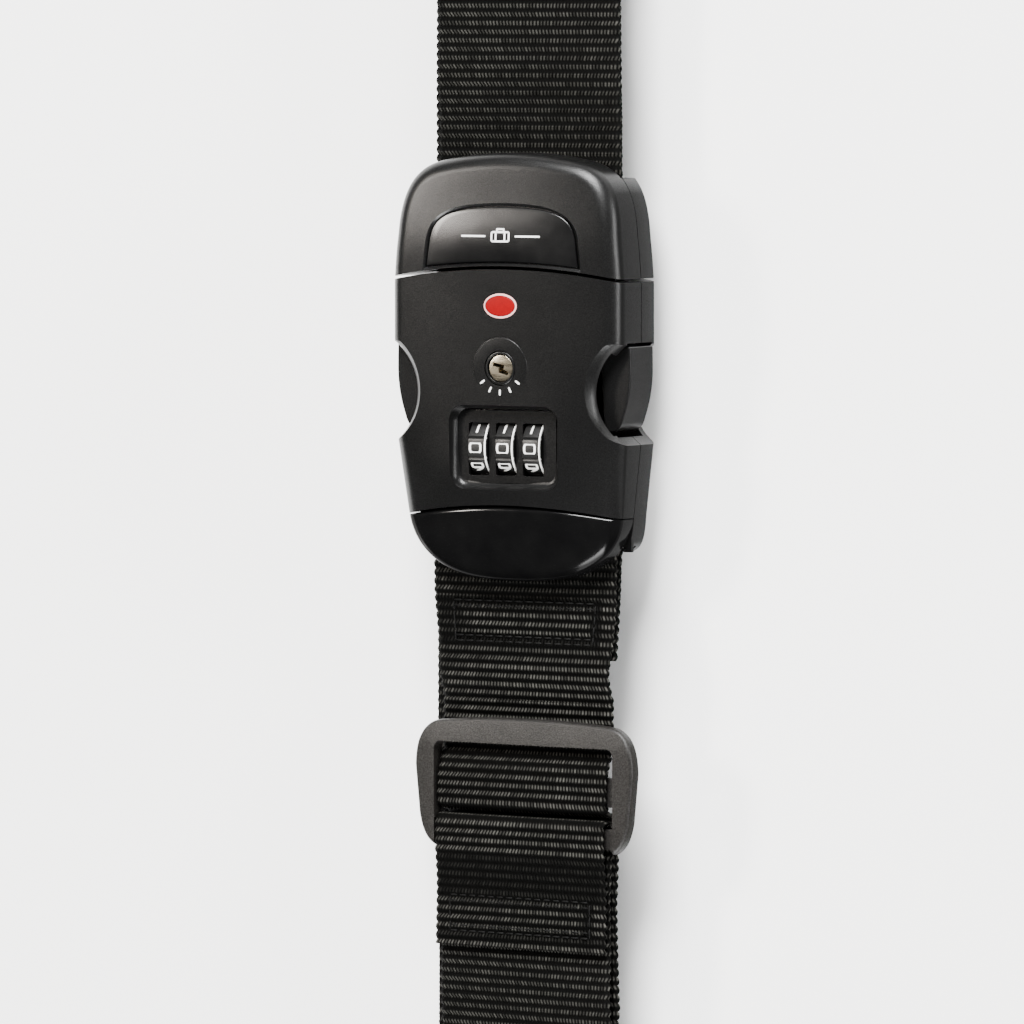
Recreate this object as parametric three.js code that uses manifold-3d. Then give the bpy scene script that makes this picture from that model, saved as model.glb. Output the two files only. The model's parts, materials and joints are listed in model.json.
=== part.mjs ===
// A luggage strap: 50 mm webbing, a side-release buckle with a three-dial lock, and a three-bar slide adjuster.
// The strap lies on its back. +X is across the strap, +Y along it and +Z out of the buckle's front.
// The length of webbing that a case would take up is folded under the front run as a flat hank.
import * as THREE from "three";
import { mergeVertices } from "three/addons/utils/BufferGeometryUtils.js";
import Module from "manifold-3d";

const wasm = await Module();
wasm.setup();

// ---- driving dimensions, millimetres ----
const GAP = 0.3;

// webbing
const WEB_WIDTH = 50;
const WEB_THICK = 1.5;
const LAYER_PITCH = 1.9;
const HIDDEN_LAYERS = 5;
const LAYER_LEAN = Math.tan(THREE.MathUtils.degToRad(29));
const STRAP_END = 163;
const RUN_Z = 15.5;

// buckle
const BACK_Z = 9.5;
const PART_Z = 17;
const CROWN_Z = 30;
const HALF_WIDTH = 31.2;
const FRONT_ROUND = 4;
const BACK_ROUND = 1.4;
const SEAM_APEX = 57.7;
const SEAM_RISE = 2.9;
const SEAM_GAP = 0.8;
const CAP_APEX = 1.1;
const CAP_RISE = 3.2;
const TOP_Y = 85.4;
const BOTTOM_Y = -17;
const CAVITY_HALF = 28.4;
const CAVITY_LOW_Y = -13.5;
const SIDE_WALL = 1.8;
const FLOOR_Z = 11.6;
const CEILING_Z = 27.6;
const FRAME_TOP_Z = 27;
const FRAME_THICK = 1.4;
const SCOOP_RADIUS = 14.4;
const SCOOP_X = 39.2;
const SCOOP_Y = 28;
const WINDOW_LOW_Y = 18;
const WINDOW_HIGH_Y = 40.4;
const ARM_FRONT_Z = 23.5;
const ARM_REACH = 31.8;
const EDGE_DROP = 1.5;
const FOOT_EDGE_DROP = 6.3;
const FOOT_DROP = 6.5;
const TOP_DROP = 2.2;
const LUG_HALF = 29.2;
const LUG_LOW_Y = -9.6;
const HOUSING_BAR_Y = -7;
const HOUSING_BAR_HALF = 27.4;

// lock
const DIAL_PITCH = 7.4;
const DIAL_RADIUS = 8;
const DIAL_WIDTH = 5;
const DIAL_BORE = 2.7;
const DIAL_Y = 15;
const DIAL_Z = 20.4;
const DIAL_SLOT_HALF = 6.6;
const DETENT_Y = 23.4;
const LEAF_THICK = 0.4;
const KEY_Y = 34.2;
const KEY_RADIUS = 3.3;
const KEY_BARREL_RADIUS = 5.2;
const CAM_LOW_Z = 15.2;
const CAM_THROW = 4.2;
const LOCK_PLATE_Z = 12.2;
const LOCK_PLATE_THICK = 2;
const RESET_X = 14;
const RESET_Y = 3.5;
const BADGE_Y = 49;
const BADGE_HALF_X = 4.4;
const BADGE_HALF_Y = 2.9;

// screws
const POST_RADIUS = 2.6;
const SCREW_HEAD_RADIUS = 2.2;
const SCREW_RADIUS = 1.1;
const SCREW_TOP_Z = 21;

// slide adjuster
const SLIDE_TWIST = THREE.MathUtils.degToRad(6.5);
const SLIDE_X = 0.4;
const LOWER_X = -0.6;
const SLIDE_HALF = 32;
const SLIDE_TOP_Y = -50.3;
const SLIDE_BOTTOM_Y = -82;
const SLIDE_TOP_BAR = 6.2;
const SLIDE_WINDOW_HALF = 26.2;
const SLIDE_WINDOW_LOW_Y = -75.8;
const SLIDE_FOOT_Y = -80.6;
const CENTRE_BAR_LOW_Y = -70.6;
const CENTRE_BAR_HIGH_Y = -63.5;
const CENTRE_BAR_LOW_Z = 15;
const CENTRE_BAR_HIGH_Z = 17;
const SLIDE_BACK_Z = 16;
const SLIDE_FRONT_Z = 19.2;
const TWIST_Z = 16.5;

const part = new THREE.Group();

// ---- helpers ----
function material(color, roughness, metalness = 0) {
  return new THREE.MeshStandardMaterial({ color, roughness, metalness });
}

const mattePlastic = material(0x1b1b1c, 0.55);
const glossPlastic = material(0x080808, 0.12);
const slidePlastic = material(0x3a3735, 0.6);
const webbing = material(0x1a1917, 0.85);
const steel = material(0xa9a59c, 0.3, 1);
const nickel = material(0xb8ad97, 0.28, 1);
const dialPlastic = material(0x161616, 0.4);
const badgeRed = material(0xb3141b, 0.35);
const elastic = material(0x101010, 0.7);

function addMesh(name, geometry, surface, group = part) {
  const mesh = new THREE.Mesh(geometry, surface);
  mesh.name = name;
  group.add(mesh);
  return mesh;
}

function solidOf(geometry) {
  const bare = geometry.index ? geometry.toNonIndexed() : geometry.clone();
  bare.deleteAttribute("normal");
  bare.deleteAttribute("uv");
  const merged = mergeVertices(bare, 1e-4);
  const mesh = new wasm.Mesh({
    numProp: 3,
    vertProperties: new Float32Array(merged.attributes.position.array),
    triVerts: new Uint32Array(merged.index.array),
  });
  return new wasm.Manifold(mesh);
}

function geometryOf(solid) {
  const mesh = solid.getMesh();
  const geometry = new THREE.BufferGeometry();
  geometry.setAttribute("position", new THREE.BufferAttribute(new Float32Array(mesh.vertProperties), 3));
  geometry.setIndex(new THREE.BufferAttribute(new Uint32Array(mesh.triVerts), 1));
  return geometry;
}

function box(x0, x1, y0, y1, z0, z1) {
  const geometry = new THREE.BoxGeometry(x1 - x0, y1 - y0, z1 - z0);
  geometry.translate((x0 + x1) / 2, (y0 + y1) / 2, (z0 + z1) / 2);
  return solidOf(geometry);
}

function rod(radius, z0, z1, x, y, sides = 16) {
  const geometry = new THREE.CylinderGeometry(radius, radius, z1 - z0, sides);
  geometry.rotateX(Math.PI / 2);
  geometry.translate(x, y, (z0 + z1) / 2);
  return solidOf(geometry);
}

// a flat-sided block of any outline, from z0 to z1
function block(points, z0, z1) {
  const geometry = new THREE.ExtrudeGeometry(new THREE.Shape(points), { depth: z1 - z0, bevelEnabled: false });
  geometry.translate(0, 0, z0);
  return solidOf(geometry);
}

function insetOutline(points, inset) {
  return points.map((point, i) => {
    const before = points[(i + points.length - 1) % points.length];
    const after = points[(i + 1) % points.length];
    const inA = new THREE.Vector2(before.y - point.y, point.x - before.x).normalize();
    const inB = new THREE.Vector2(point.y - after.y, after.x - point.x).normalize();
    const inward = inA.clone().add(inB).normalize();
    const reach = Math.min(inset / Math.max(inward.dot(inA), 0.5), 2 * inset);
    return point.clone().addScaledVector(inward, reach);
  });
}

// a plate with rounded edges: each level is a height and how far the outline draws in there
function roundedPlate(points, levels) {
  const rings = levels.map((level) => insetOutline(points, level.inset));
  const count = points.length;
  const positions = [];
  rings.forEach((ring, k) => ring.forEach((point) => positions.push(point.x, point.y, levels[k].z)));
  const index = [];
  for (let k = 0; k < rings.length - 1; k += 1) {
    for (let i = 0; i < count; i += 1) {
      const a = k * count + i;
      const b = k * count + (i + 1) % count;
      index.push(a, b, b + count, a, b + count, a + count);
    }
  }
  const middle = points.reduce((sum, point) => sum.add(point), new THREE.Vector2()).divideScalar(count);
  const low = rings.length * count;
  const last = (rings.length - 1) * count;
  positions.push(middle.x, middle.y, levels[0].z, middle.x, middle.y, levels.at(-1).z);
  for (let i = 0; i < count; i += 1) {
    const next = (i + 1) % count;
    index.push(low, next, i, low + 1, last + i, last + next);
  }
  const geometry = new THREE.BufferGeometry();
  geometry.setAttribute("position", new THREE.Float32BufferAttribute(positions, 3));
  geometry.setIndex(index);
  return solidOf(geometry);
}

function roundOver(z0, z1, radius, steps = 3) {
  const levels = [{ z: z0, inset: 0 }];
  for (let i = 0; i <= steps; i += 1) {
    const angle = (i / steps) * Math.PI / 2;
    levels.push({ z: z1 - radius + radius * Math.sin(angle), inset: radius * (1 - Math.cos(angle)) });
  }
  return levels;
}

function mirroredOutline(rightHalf) {
  const left = rightHalf.slice().reverse().filter((point) => point.x > 1e-6);
  const mirrored = left.map((point) => new THREE.Vector2(-point.x, point.y));
  return THREE.ShapeUtils.area([...rightHalf, ...mirrored]) > 0
    ? [...rightHalf, ...mirrored]
    : [...rightHalf, ...mirrored].reverse();
}

function smooth(a, b, value) {
  const t = THREE.MathUtils.clamp((value - a) / (b - a), 0, 1);
  return t * t * (3 - 2 * t);
}

function both(make) {
  return [-1, 1].map(make);
}

// ---- outlines ----
function buckleOutline() {
  const path = new THREE.Path();
  path.moveTo(0, BOTTOM_Y);
  path.quadraticCurveTo(8, BOTTOM_Y, 13, BOTTOM_Y + 1);
  path.bezierCurveTo(20, BOTTOM_Y + 2.2, 28.4, -10, 29.2, -1);
  path.lineTo(HALF_WIDTH, 17);
  path.lineTo(HALF_WIDTH, 54);
  path.lineTo(HALF_WIDTH - 1, 66);
  path.bezierCurveTo(29.6, 77, 26, 82, 18, 83.6);
  path.quadraticCurveTo(9, TOP_Y, 0, TOP_Y);
  return mirroredOutline(path.getPoints(5));
}

// the rear shell keeps square lugs at its foot, which carry the bar
function rearOutline() {
  const path = new THREE.Path();
  path.moveTo(0, BOTTOM_Y);
  path.lineTo(20, BOTTOM_Y);
  path.bezierCurveTo(26, BOTTOM_Y, LUG_HALF - 0.2, -12, LUG_HALF, -1);
  path.lineTo(HALF_WIDTH, 17);
  path.lineTo(HALF_WIDTH, 54);
  path.lineTo(HALF_WIDTH - 1, 66);
  path.bezierCurveTo(29.6, 77, 26, 82, 18, 83.6);
  path.quadraticCurveTo(9, TOP_Y, 0, TOP_Y);
  return mirroredOutline(path.getPoints(5));
}

// the front is domed across, and slopes away towards its foot and, less so, its top
function frontDrop(x, y) {
  const top = TOP_DROP * smooth(60, TOP_Y + 3, y);
  const edge = EDGE_DROP + top + FOOT_EDGE_DROP * smooth(38, BOTTOM_Y, y);
  const centre = top + FOOT_DROP * smooth(12, BOTTOM_Y - 3, y);
  return centre + (edge - centre) * Math.min(1, Math.abs(x) / HALF_WIDTH) ** 2.6;
}

// lowers everything in front of the parting plane, in proportion to its height
function domed(solid, length = 9) {
  return solid.refineToLength(length).warp((point) => {
    const share = (point[2] - PART_Z) / (CROWN_Z - PART_Z);
    point[2] -= frontDrop(point[0], point[1]) * THREE.MathUtils.clamp(share, 0, 1);
  });
}

// the seams across the buckle are shallow arches
function archAt(x, apex, rise) {
  return apex - rise * (x / HALF_WIDTH) ** 2;
}

function zone(lowApex, lowRise, highApex, highRise) {
  const low = [];
  const high = [];
  for (let i = -6; i <= 6; i += 1) {
    const x = i * 40 / 6;
    low.push(new THREE.Vector2(x, archAt(x, lowApex, lowRise)));
    high.push(new THREE.Vector2(x, archAt(x, highApex, highRise)));
  }
  return block([...low, ...high.reverse()], 0, 40);
}

function labelOutline(grow) {
  const low = SEAM_APEX + SEAM_GAP + 1 - grow;
  const path = new THREE.Path();
  path.moveTo(0, low);
  path.quadraticCurveTo(10, low, 20.7 + grow, archAt(20.7, low, SEAM_RISE));
  path.lineTo(19.9 + grow, 64.2);
  path.bezierCurveTo(19 + grow, 69, 16, 70.6 + grow, 11, 71.5 + grow);
  path.quadraticCurveTo(5, 72.6 + grow, 0, 72.6 + grow);
  return mirroredOutline(path.getPoints(4));
}

function roundedRectangle(halfX, y0, y1, radius, steps = 3) {
  const points = [];
  const corners = [[halfX - radius, y0 + radius], [halfX - radius, y1 - radius]];
  corners.forEach(([x, y], k) => {
    for (let i = 0; i <= steps; i += 1) {
      const angle = (k - 1 + i / steps) * Math.PI / 2;
      points.push(new THREE.Vector2(x + radius * Math.cos(angle), y + radius * Math.sin(angle)));
    }
  });
  return mirroredOutline(points);
}

// ---- housing ----
// each side has a finger scoop through the shells, and a window that the arm's head springs into
function scoops() {
  return both((side) => {
    const scoop = rod(SCOOP_RADIUS, 0, 40, side * SCOOP_X, SCOOP_Y, 40);
    return scoop.add(box(side * 33 - 6.8, side * 33 + 6.8, WINDOW_LOW_Y, WINDOW_HIGH_Y, FLOOR_Z, ARM_FRONT_Z + 0.6));
  });
}

function cavity(outline) {
  const room = box(-CAVITY_HALF, CAVITY_HALF, CAVITY_LOW_Y, SEAM_APEX + 1, FLOOR_Z, CEILING_Z);
  return domed(room.intersect(block(insetOutline(outline, SIDE_WALL), 0, 40)), 12);
}

const HOUSING_SCREWS = [[-22.8, 10], [22.8, 10], [-15.2, 50], [15.2, 50]];
const PLUG_BAR_Y = 66.9;
const PLUG_SCREWS = [[-13, 60.4], [13, 60.4]];

function frontBody() {
  return domed(roundedPlate(buckleOutline(), roundOver(PART_Z + GAP / 2, CROWN_Z, FRONT_ROUND)));
}

function rearBody() {
  const levels = roundOver(0, PART_Z - GAP / 2 - BACK_Z, BACK_ROUND, 2);
  const flipped = levels.map((level) => ({ z: PART_Z - GAP / 2 - level.z, inset: level.inset }));
  return roundedPlate(rearOutline(), flipped.reverse());
}

function makeFrontHousing() {
  const hollow = frontBody().subtract(cavity(buckleOutline()));
  let shell = hollow.intersect(zone(CAP_APEX + GAP, CAP_RISE, SEAM_APEX, SEAM_RISE));
  for (const scoop of scoops()) {
    shell = shell.subtract(scoop);
  }
  shell = shell.subtract(block(roundedRectangle(13.2, 6.7, 24.5, 2), 20, 40));
  shell = shell.subtract(rod(KEY_BARREL_RADIUS + GAP, 20, 40, 0, KEY_Y, 24));
  shell = shell.subtract(badgeBlock(0.2).translate([0, 0, -0.2]));
  for (const [x, y] of HOUSING_SCREWS) {
    const post = rod(POST_RADIUS, PART_Z + GAP / 2, CEILING_Z + 1 - frontDrop(x, y), x, y, 12);
    shell = shell.add(post).subtract(rod(1.3, 0, 22, x, y, 10));
  }
  addMesh("front_shell", geometryOf(shell), mattePlastic);
  addMesh("lower_cap", geometryOf(hollow.intersect(zone(-60, 0, CAP_APEX, CAP_RISE))), glossPlastic);
}

function makeRearHousing() {
  let shell = rearBody().subtract(cavity(rearOutline())).intersect(zone(LUG_LOW_Y, 0, SEAM_APEX, SEAM_RISE));
  shell = shell.subtract(box(-26, 26, -20, -4, FLOOR_Z, 40));
  const seat = HOUSING_BAR_HALF + 0.2;
  shell = shell.subtract(box(-seat, seat, HOUSING_BAR_Y - 2, HOUSING_BAR_Y + 2, 12.8, 40));
  for (const scoop of scoops()) {
    shell = shell.subtract(scoop);
  }
  for (const [x, y] of HOUSING_SCREWS) {
    shell = shell.add(rod(POST_RADIUS, FLOOR_Z - 0.5, PART_Z - GAP / 2, x, y, 12));
    shell = shell.subtract(rod(1.4, 0, 40, x, y, 10)).subtract(rod(2.5, 0, BACK_Z + 1.6, x, y, 16));
  }
  shell = shell.subtract(rod(2.1, 0, 40, RESET_X, RESET_Y, 16));
  addMesh("rear_shell", geometryOf(shell), mattePlastic);
}

function badgeBlock(grow) {
  const points = [];
  for (let i = 0; i < 24; i += 1) {
    const angle = (i / 24) * 2 * Math.PI;
    const x = (BADGE_HALF_X + grow) * Math.cos(angle);
    points.push(new THREE.Vector2(x, BADGE_Y + (BADGE_HALF_Y + grow) * Math.sin(angle)));
  }
  return block(points, CROWN_Z - 1, CROWN_Z + 0.1 + grow);
}

function screw(name, x, y) {
  const head = rod(SCREW_HEAD_RADIUS, BACK_Z + 0.4, BACK_Z + 1.4, x, y, 16);
  const shank = rod(SCREW_RADIUS, BACK_Z + 1.2, SCREW_TOP_Z, x, y, 10);
  const slotA = box(x - 1.3, x + 1.3, y - 0.25, y + 0.25, 0, BACK_Z + 0.9);
  const slotB = box(x - 0.25, x + 0.25, y - 1.3, y + 1.3, 0, BACK_Z + 0.9);
  addMesh(name, geometryOf(head.add(shank).subtract(slotA).subtract(slotB)), steel);
}

function makeScrews() {
  HOUSING_SCREWS.forEach(([x, y], i) => screw(`housing_screw_${i + 1}`, x, y));
  PLUG_SCREWS.forEach(([x, y], i) => screw(`plug_screw_${i + 1}`, x, y));
}

// ---- lock ----
function turnedAlongX(profile, x, y, z, sides) {
  const geometry = new THREE.LatheGeometry(profile.map(([r, h]) => new THREE.Vector2(r, h)), sides);
  geometry.rotateZ(-Math.PI / 2);
  geometry.translate(x, y, z);
  return geometry;
}

function ringProfile(inner, outer, width, chamfer) {
  const half = width / 2;
  return [
    [inner, -half], [outer - chamfer, -half], [outer, -half + chamfer],
    [outer, half - chamfer], [outer - chamfer, half], [inner, half], [inner, -half],
  ];
}

function makeDials() {
  for (let i = 0; i < 3; i += 1) {
    const x = (i - 1) * DIAL_PITCH;
    const dial = ringProfile(DIAL_BORE, DIAL_RADIUS, DIAL_WIDTH, 0.3);
    addMesh(`dial_${i + 1}`, turnedAlongX(dial, x, DIAL_Y, DIAL_Z, 30), dialPlastic);
    const sleeve = ringProfile(1.4, DIAL_BORE - GAP, DIAL_WIDTH + 1.2, 0.2);
    addMesh(`dial_clutch_${i + 1}`, turnedAlongX(sleeve, x, DIAL_Y, DIAL_Z, 14), steel);
  }
  const spindle = new THREE.CylinderGeometry(1.15, 1.15, 26, 12);
  spindle.rotateZ(Math.PI / 2);
  spindle.translate(0, DIAL_Y, DIAL_Z);
  addMesh("dial_spindle", spindle, steel);
}

function makeDialFrame() {
  let plate = block(roundedRectangle(12.9, 7, 24.2, 1.8), FRAME_TOP_Z - FRAME_THICK, FRAME_TOP_Z);
  for (let i = -1; i <= 1; i += 1) {
    const x = i * DIAL_PITCH;
    plate = plate.subtract(box(x - 2.8, x + 2.8, DIAL_Y - DIAL_SLOT_HALF, DIAL_Y + DIAL_SLOT_HALF, 0, 40));
  }
  addMesh("dial_window_frame", geometryOf(plate), mattePlastic);
}

function makeDetentSpring() {
  let leaf = box(-11, 11, DETENT_Y, DETENT_Y + LEAF_THICK, 14, 19);
  for (let i = -1; i <= 1; i += 1) {
    const x = i * DIAL_PITCH;
    leaf = leaf.add(box(x - 1.6, x + 1.6, DETENT_Y, DETENT_Y + LEAF_THICK, 18.8, 24));
  }
  addMesh("detent_spring", geometryOf(leaf), steel);
}

function coil(radius, wire, turns, length) {
  class Helix extends THREE.Curve {
    getPoint(t, target = new THREE.Vector3()) {
      const angle = t * turns * 2 * Math.PI;
      return target.set(radius * Math.cos(angle), radius * Math.sin(angle), t * length);
    }
  }
  const section = new THREE.Shape();
  section.absarc(0, 0, wire / 2, 0, 2 * Math.PI);
  return new THREE.ExtrudeGeometry(section, {
    steps: turns * 9,
    curveSegments: 3,
    bevelEnabled: false,
    extrudePath: new Helix(),
  });
}

function makeKeyLock() {
  const outer = rod(KEY_BARREL_RADIUS, PART_Z, CROWN_Z - 0.6, 0, KEY_Y, 24);
  addMesh("key_barrel", geometryOf(outer.subtract(rod(KEY_RADIUS + GAP, 0, 40, 0, KEY_Y, 24))), mattePlastic);
  const keyway = box(-0.5, 0.5, KEY_Y - 2.1, KEY_Y + 2.1, CROWN_Z - 5, 40);
  addMesh("key_core", geometryOf(rod(KEY_RADIUS, PART_Z, CROWN_Z - 0.4, 0, KEY_Y, 24).subtract(keyway)), nickel);
  const hub = rod(2.8, CAM_LOW_Z, PART_Z - GAP, 0, KEY_Y, 16);
  const finger = box(-1.1, 1.1, KEY_Y - CAM_THROW - 0.9, KEY_Y, CAM_LOW_Z, PART_Z - GAP);
  const pin = rod(0.7, LOCK_PLATE_Z + 0.4, CAM_LOW_Z + 0.2, 0, KEY_Y - CAM_THROW, 10);
  addMesh("key_cam", geometryOf(hub.add(finger).add(pin)), steel);
}

function makeLockSlide() {
  let plate = box(-16, 16, 26.2, 41, LOCK_PLATE_Z, LOCK_PLATE_Z + LOCK_PLATE_THICK);
  plate = plate.subtract(box(-9, 9, 33, 45, 0, 40));
  plate = plate.subtract(box(-1.2, CAM_THROW + 1.2, 28, 31.2, 0, 40));
  addMesh("lock_slide", geometryOf(plate), steel);
  const spring = coil(0.9, 0.4, 5, 6);
  spring.rotateX(Math.PI / 2);
  spring.translate(13, 25.8, LOCK_PLATE_Z + LOCK_PLATE_THICK / 2);
  addMesh("lock_spring", spring, steel);
}

function makeReset() {
  const stem = rod(1.8, BACK_Z + 0.3, FLOOR_Z + 1, RESET_X, RESET_Y, 14);
  const cap = stem.add(rod(2.8, FLOOR_Z + 0.8, FLOOR_Z + 1.6, RESET_X, RESET_Y, 14));
  addMesh("reset_button", geometryOf(cap), mattePlastic);
  const spring = coil(1.5, 0.4, 4, 6);
  spring.translate(RESET_X, RESET_Y, FLOOR_Z + 2.2);
  addMesh("reset_spring", spring, steel);
}

function makeBadge() {
  addMesh("lock_badge", geometryOf(badgeBlock(0)), badgeRed);
}

// ---- plug ----
function plugZone() {
  return zone(SEAM_APEX + SEAM_GAP, SEAM_RISE, 120, 0);
}

function makePlug() {
  const room = domed(block(insetOutline(buckleOutline(), 2.8), 0, CEILING_Z - 0.6), 14);
  let shell = frontBody().intersect(plugZone());
  shell = shell.subtract(room.intersect(zone(SEAM_APEX + 3, SEAM_RISE, 100, 0)));
  shell = shell.subtract(box(-26, 26, 70, 99, 0, PART_Z + 0.6));
  shell = shell.subtract(domed(block(labelOutline(GAP), CROWN_Z - 1, CROWN_Z + 1)));
  for (const [x, y] of PLUG_SCREWS) {
    const post = rod(POST_RADIUS, PART_Z + GAP / 2, CEILING_Z, x, y, 12);
    shell = shell.add(post).subtract(rod(1.3, 0, 22, x, y, 10));
  }
  for (const side of [-1, 1]) {
    shell = shell.subtract(box(side * 22.7 - 3, side * 22.7 + 3, 40, 61.8, 0, 22));
  }
  addMesh("plug_cover", geometryOf(shell), mattePlastic);
  addMesh("label_plate", geometryOf(domed(block(labelOutline(0), CROWN_Z - 0.7, CROWN_Z - 0.2))), glossPlastic);

  let base = rearBody().intersect(plugZone());
  base = base.subtract(box(-26, 26, 62.6, 99, 10.6, 40));
  base = base.subtract(box(-27.1, 27.1, PLUG_BAR_Y - 2.2, PLUG_BAR_Y + 2.2, 12.4, 40));
  for (const side of [-1, 1]) {
    base = base.subtract(box(side * 22.7 - 3, side * 22.7 + 3, 40, 61.8, FLOOR_Z, 40));
  }
  base = base.add(box(-8.5, 8.5, 46, 60, 12, 14.6));
  for (const [x, y] of PLUG_SCREWS) {
    base = base.subtract(rod(1.4, 0, 40, x, y, 10)).subtract(rod(2.5, 0, BACK_Z + 1.6, x, y, 16));
  }
  addMesh("plug_base", geometryOf(base), mattePlastic);
}

function armOutline(side) {
  const path = new THREE.Path();
  path.moveTo(21.5, 59.6);
  path.lineTo(21.5, 44);
  path.lineTo(23.6, 38);
  path.lineTo(24.6, 22);
  path.quadraticCurveTo(24.8, 19.2, 26.6, 19.2);
  path.quadraticCurveTo(29, 19.2, 29.8, 22.6);
  path.quadraticCurveTo(ARM_REACH, 28, ARM_REACH, 34);
  path.lineTo(ARM_REACH - 0.1, 39.6);
  path.lineTo(27.4, 39.6);
  path.lineTo(24, 43);
  path.lineTo(24, 59.6);
  const points = path.getPoints(3).map((point) => new THREE.Vector2(side * point.x, point.y));
  return side > 0 ? points : points.reverse();
}

function makeArms() {
  for (const [side, name] of [[-1, "left"], [1, "right"]]) {
    const blade = block(armOutline(side), 12, ARM_FRONT_Z);
    const thin = box(side * 26 - 12, side * 26 + 12, 44, 70, 19, 40);
    const slot = box(side * 26 - 12, side * 26 + 12, 53, 70, 16.6, 40);
    addMesh(`release_arm_${name}`, geometryOf(blade.subtract(thin).subtract(slot)), mattePlastic);
  }
}

// ---- bars ----
function makeBar(name, y, z, halfLength) {
  const shape = new THREE.Shape();
  shape.absarc(1, 0, 0.8, -Math.PI / 2, Math.PI / 2);
  shape.absarc(-1, 0, 0.8, Math.PI / 2, 1.5 * Math.PI);
  const options = { depth: 2 * halfLength, bevelEnabled: false, curveSegments: 5 };
  const geometry = new THREE.ExtrudeGeometry(shape, options);
  geometry.translate(0, 0, -halfLength);
  geometry.rotateY(Math.PI / 2);
  geometry.rotateX(Math.PI / 2);
  geometry.translate(0, y, z);
  addMesh(name, geometry, steel);
}

// ---- slide adjuster ----
function slideOutline() {
  const path = new THREE.Path();
  path.moveTo(0, SLIDE_BOTTOM_Y);
  path.lineTo(SLIDE_HALF - 7, SLIDE_BOTTOM_Y);
  path.quadraticCurveTo(SLIDE_HALF - 2.4, SLIDE_BOTTOM_Y + 1, SLIDE_HALF - 1.2, SLIDE_BOTTOM_Y + 8);
  path.lineTo(SLIDE_HALF, SLIDE_TOP_Y - 12);
  path.quadraticCurveTo(SLIDE_HALF - 0.2, SLIDE_TOP_Y - 2, SLIDE_HALF - 7, SLIDE_TOP_Y - 1);
  path.quadraticCurveTo(SLIDE_HALF / 2, SLIDE_TOP_Y, 0, SLIDE_TOP_Y);
  return mirroredOutline(path.getPoints(4));
}

function makeSlide() {
  const levels = [
    { z: SLIDE_BACK_Z, inset: 0.5 }, { z: SLIDE_BACK_Z + 0.5, inset: 0 },
    { z: SLIDE_FRONT_Z - 0.7, inset: 0 }, { z: SLIDE_FRONT_Z, inset: 0.7 },
  ];
  let frame = roundedPlate(slideOutline(), levels);
  const half = SLIDE_WINDOW_HALF;
  const hole = roundedRectangle(half, SLIDE_WINDOW_LOW_Y, SLIDE_TOP_Y - SLIDE_TOP_BAR, 1.6);
  frame = frame.subtract(block(hole, 0, 40));
  frame = frame.subtract(box(-half, half, -90, SLIDE_WINDOW_LOW_Y + 0.8, 17.8, 40));
  const [barLow, barHigh] = [CENTRE_BAR_LOW_Z, CENTRE_BAR_HIGH_Z];
  frame = frame.add(box(-half - 0.4, half + 0.4, CENTRE_BAR_LOW_Y, CENTRE_BAR_HIGH_Y, barLow, barHigh));
  frame = frame.subtract(box(-half, half, -90, SLIDE_FOOT_Y, 0, 40));
  const geometry = geometryOf(frame);
  geometry.translate(0, 0, -TWIST_Z);
  geometry.rotateY(-SLIDE_TWIST);
  geometry.translate(SLIDE_X, 0, TWIST_Z);
  addMesh("slide_adjuster", geometry, slidePlastic);
}

// ---- webbing ----
function twistAt(y) {
  return SLIDE_TWIST * smooth(-18, -42, y) * (1 - smooth(-125, -150, y));
}

function layerZ(layer) {
  return WEB_THICK / 2 + (layer - 1) * LAYER_PITCH;
}

// the folded layers lean to the left as they go down, but not inside the buckle
function leanAt(y, z) {
  const insideBuckle = z > BACK_Z && Math.abs(y) < 100;
  return insideBuckle ? 0 : -Math.max(0, RUN_Z - z) * LAYER_LEAN;
}

function arc(y, z, ry, rz, from, to, steps = 6) {
  const points = [];
  for (let i = 0; i <= steps; i += 1) {
    const angle = THREE.MathUtils.degToRad(from + (to - from) * i / steps);
    points.push([y + ry * Math.cos(angle), z + rz * Math.sin(angle)]);
  }
  return points;
}

function straight(y0, z0, y1, z1, steps = 1) {
  const points = [];
  for (let i = 0; i <= steps; i += 1) {
    points.push([y0 + (y1 - y0) * i / steps, z0 + (z1 - z0) * i / steps]);
  }
  return points;
}

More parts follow.
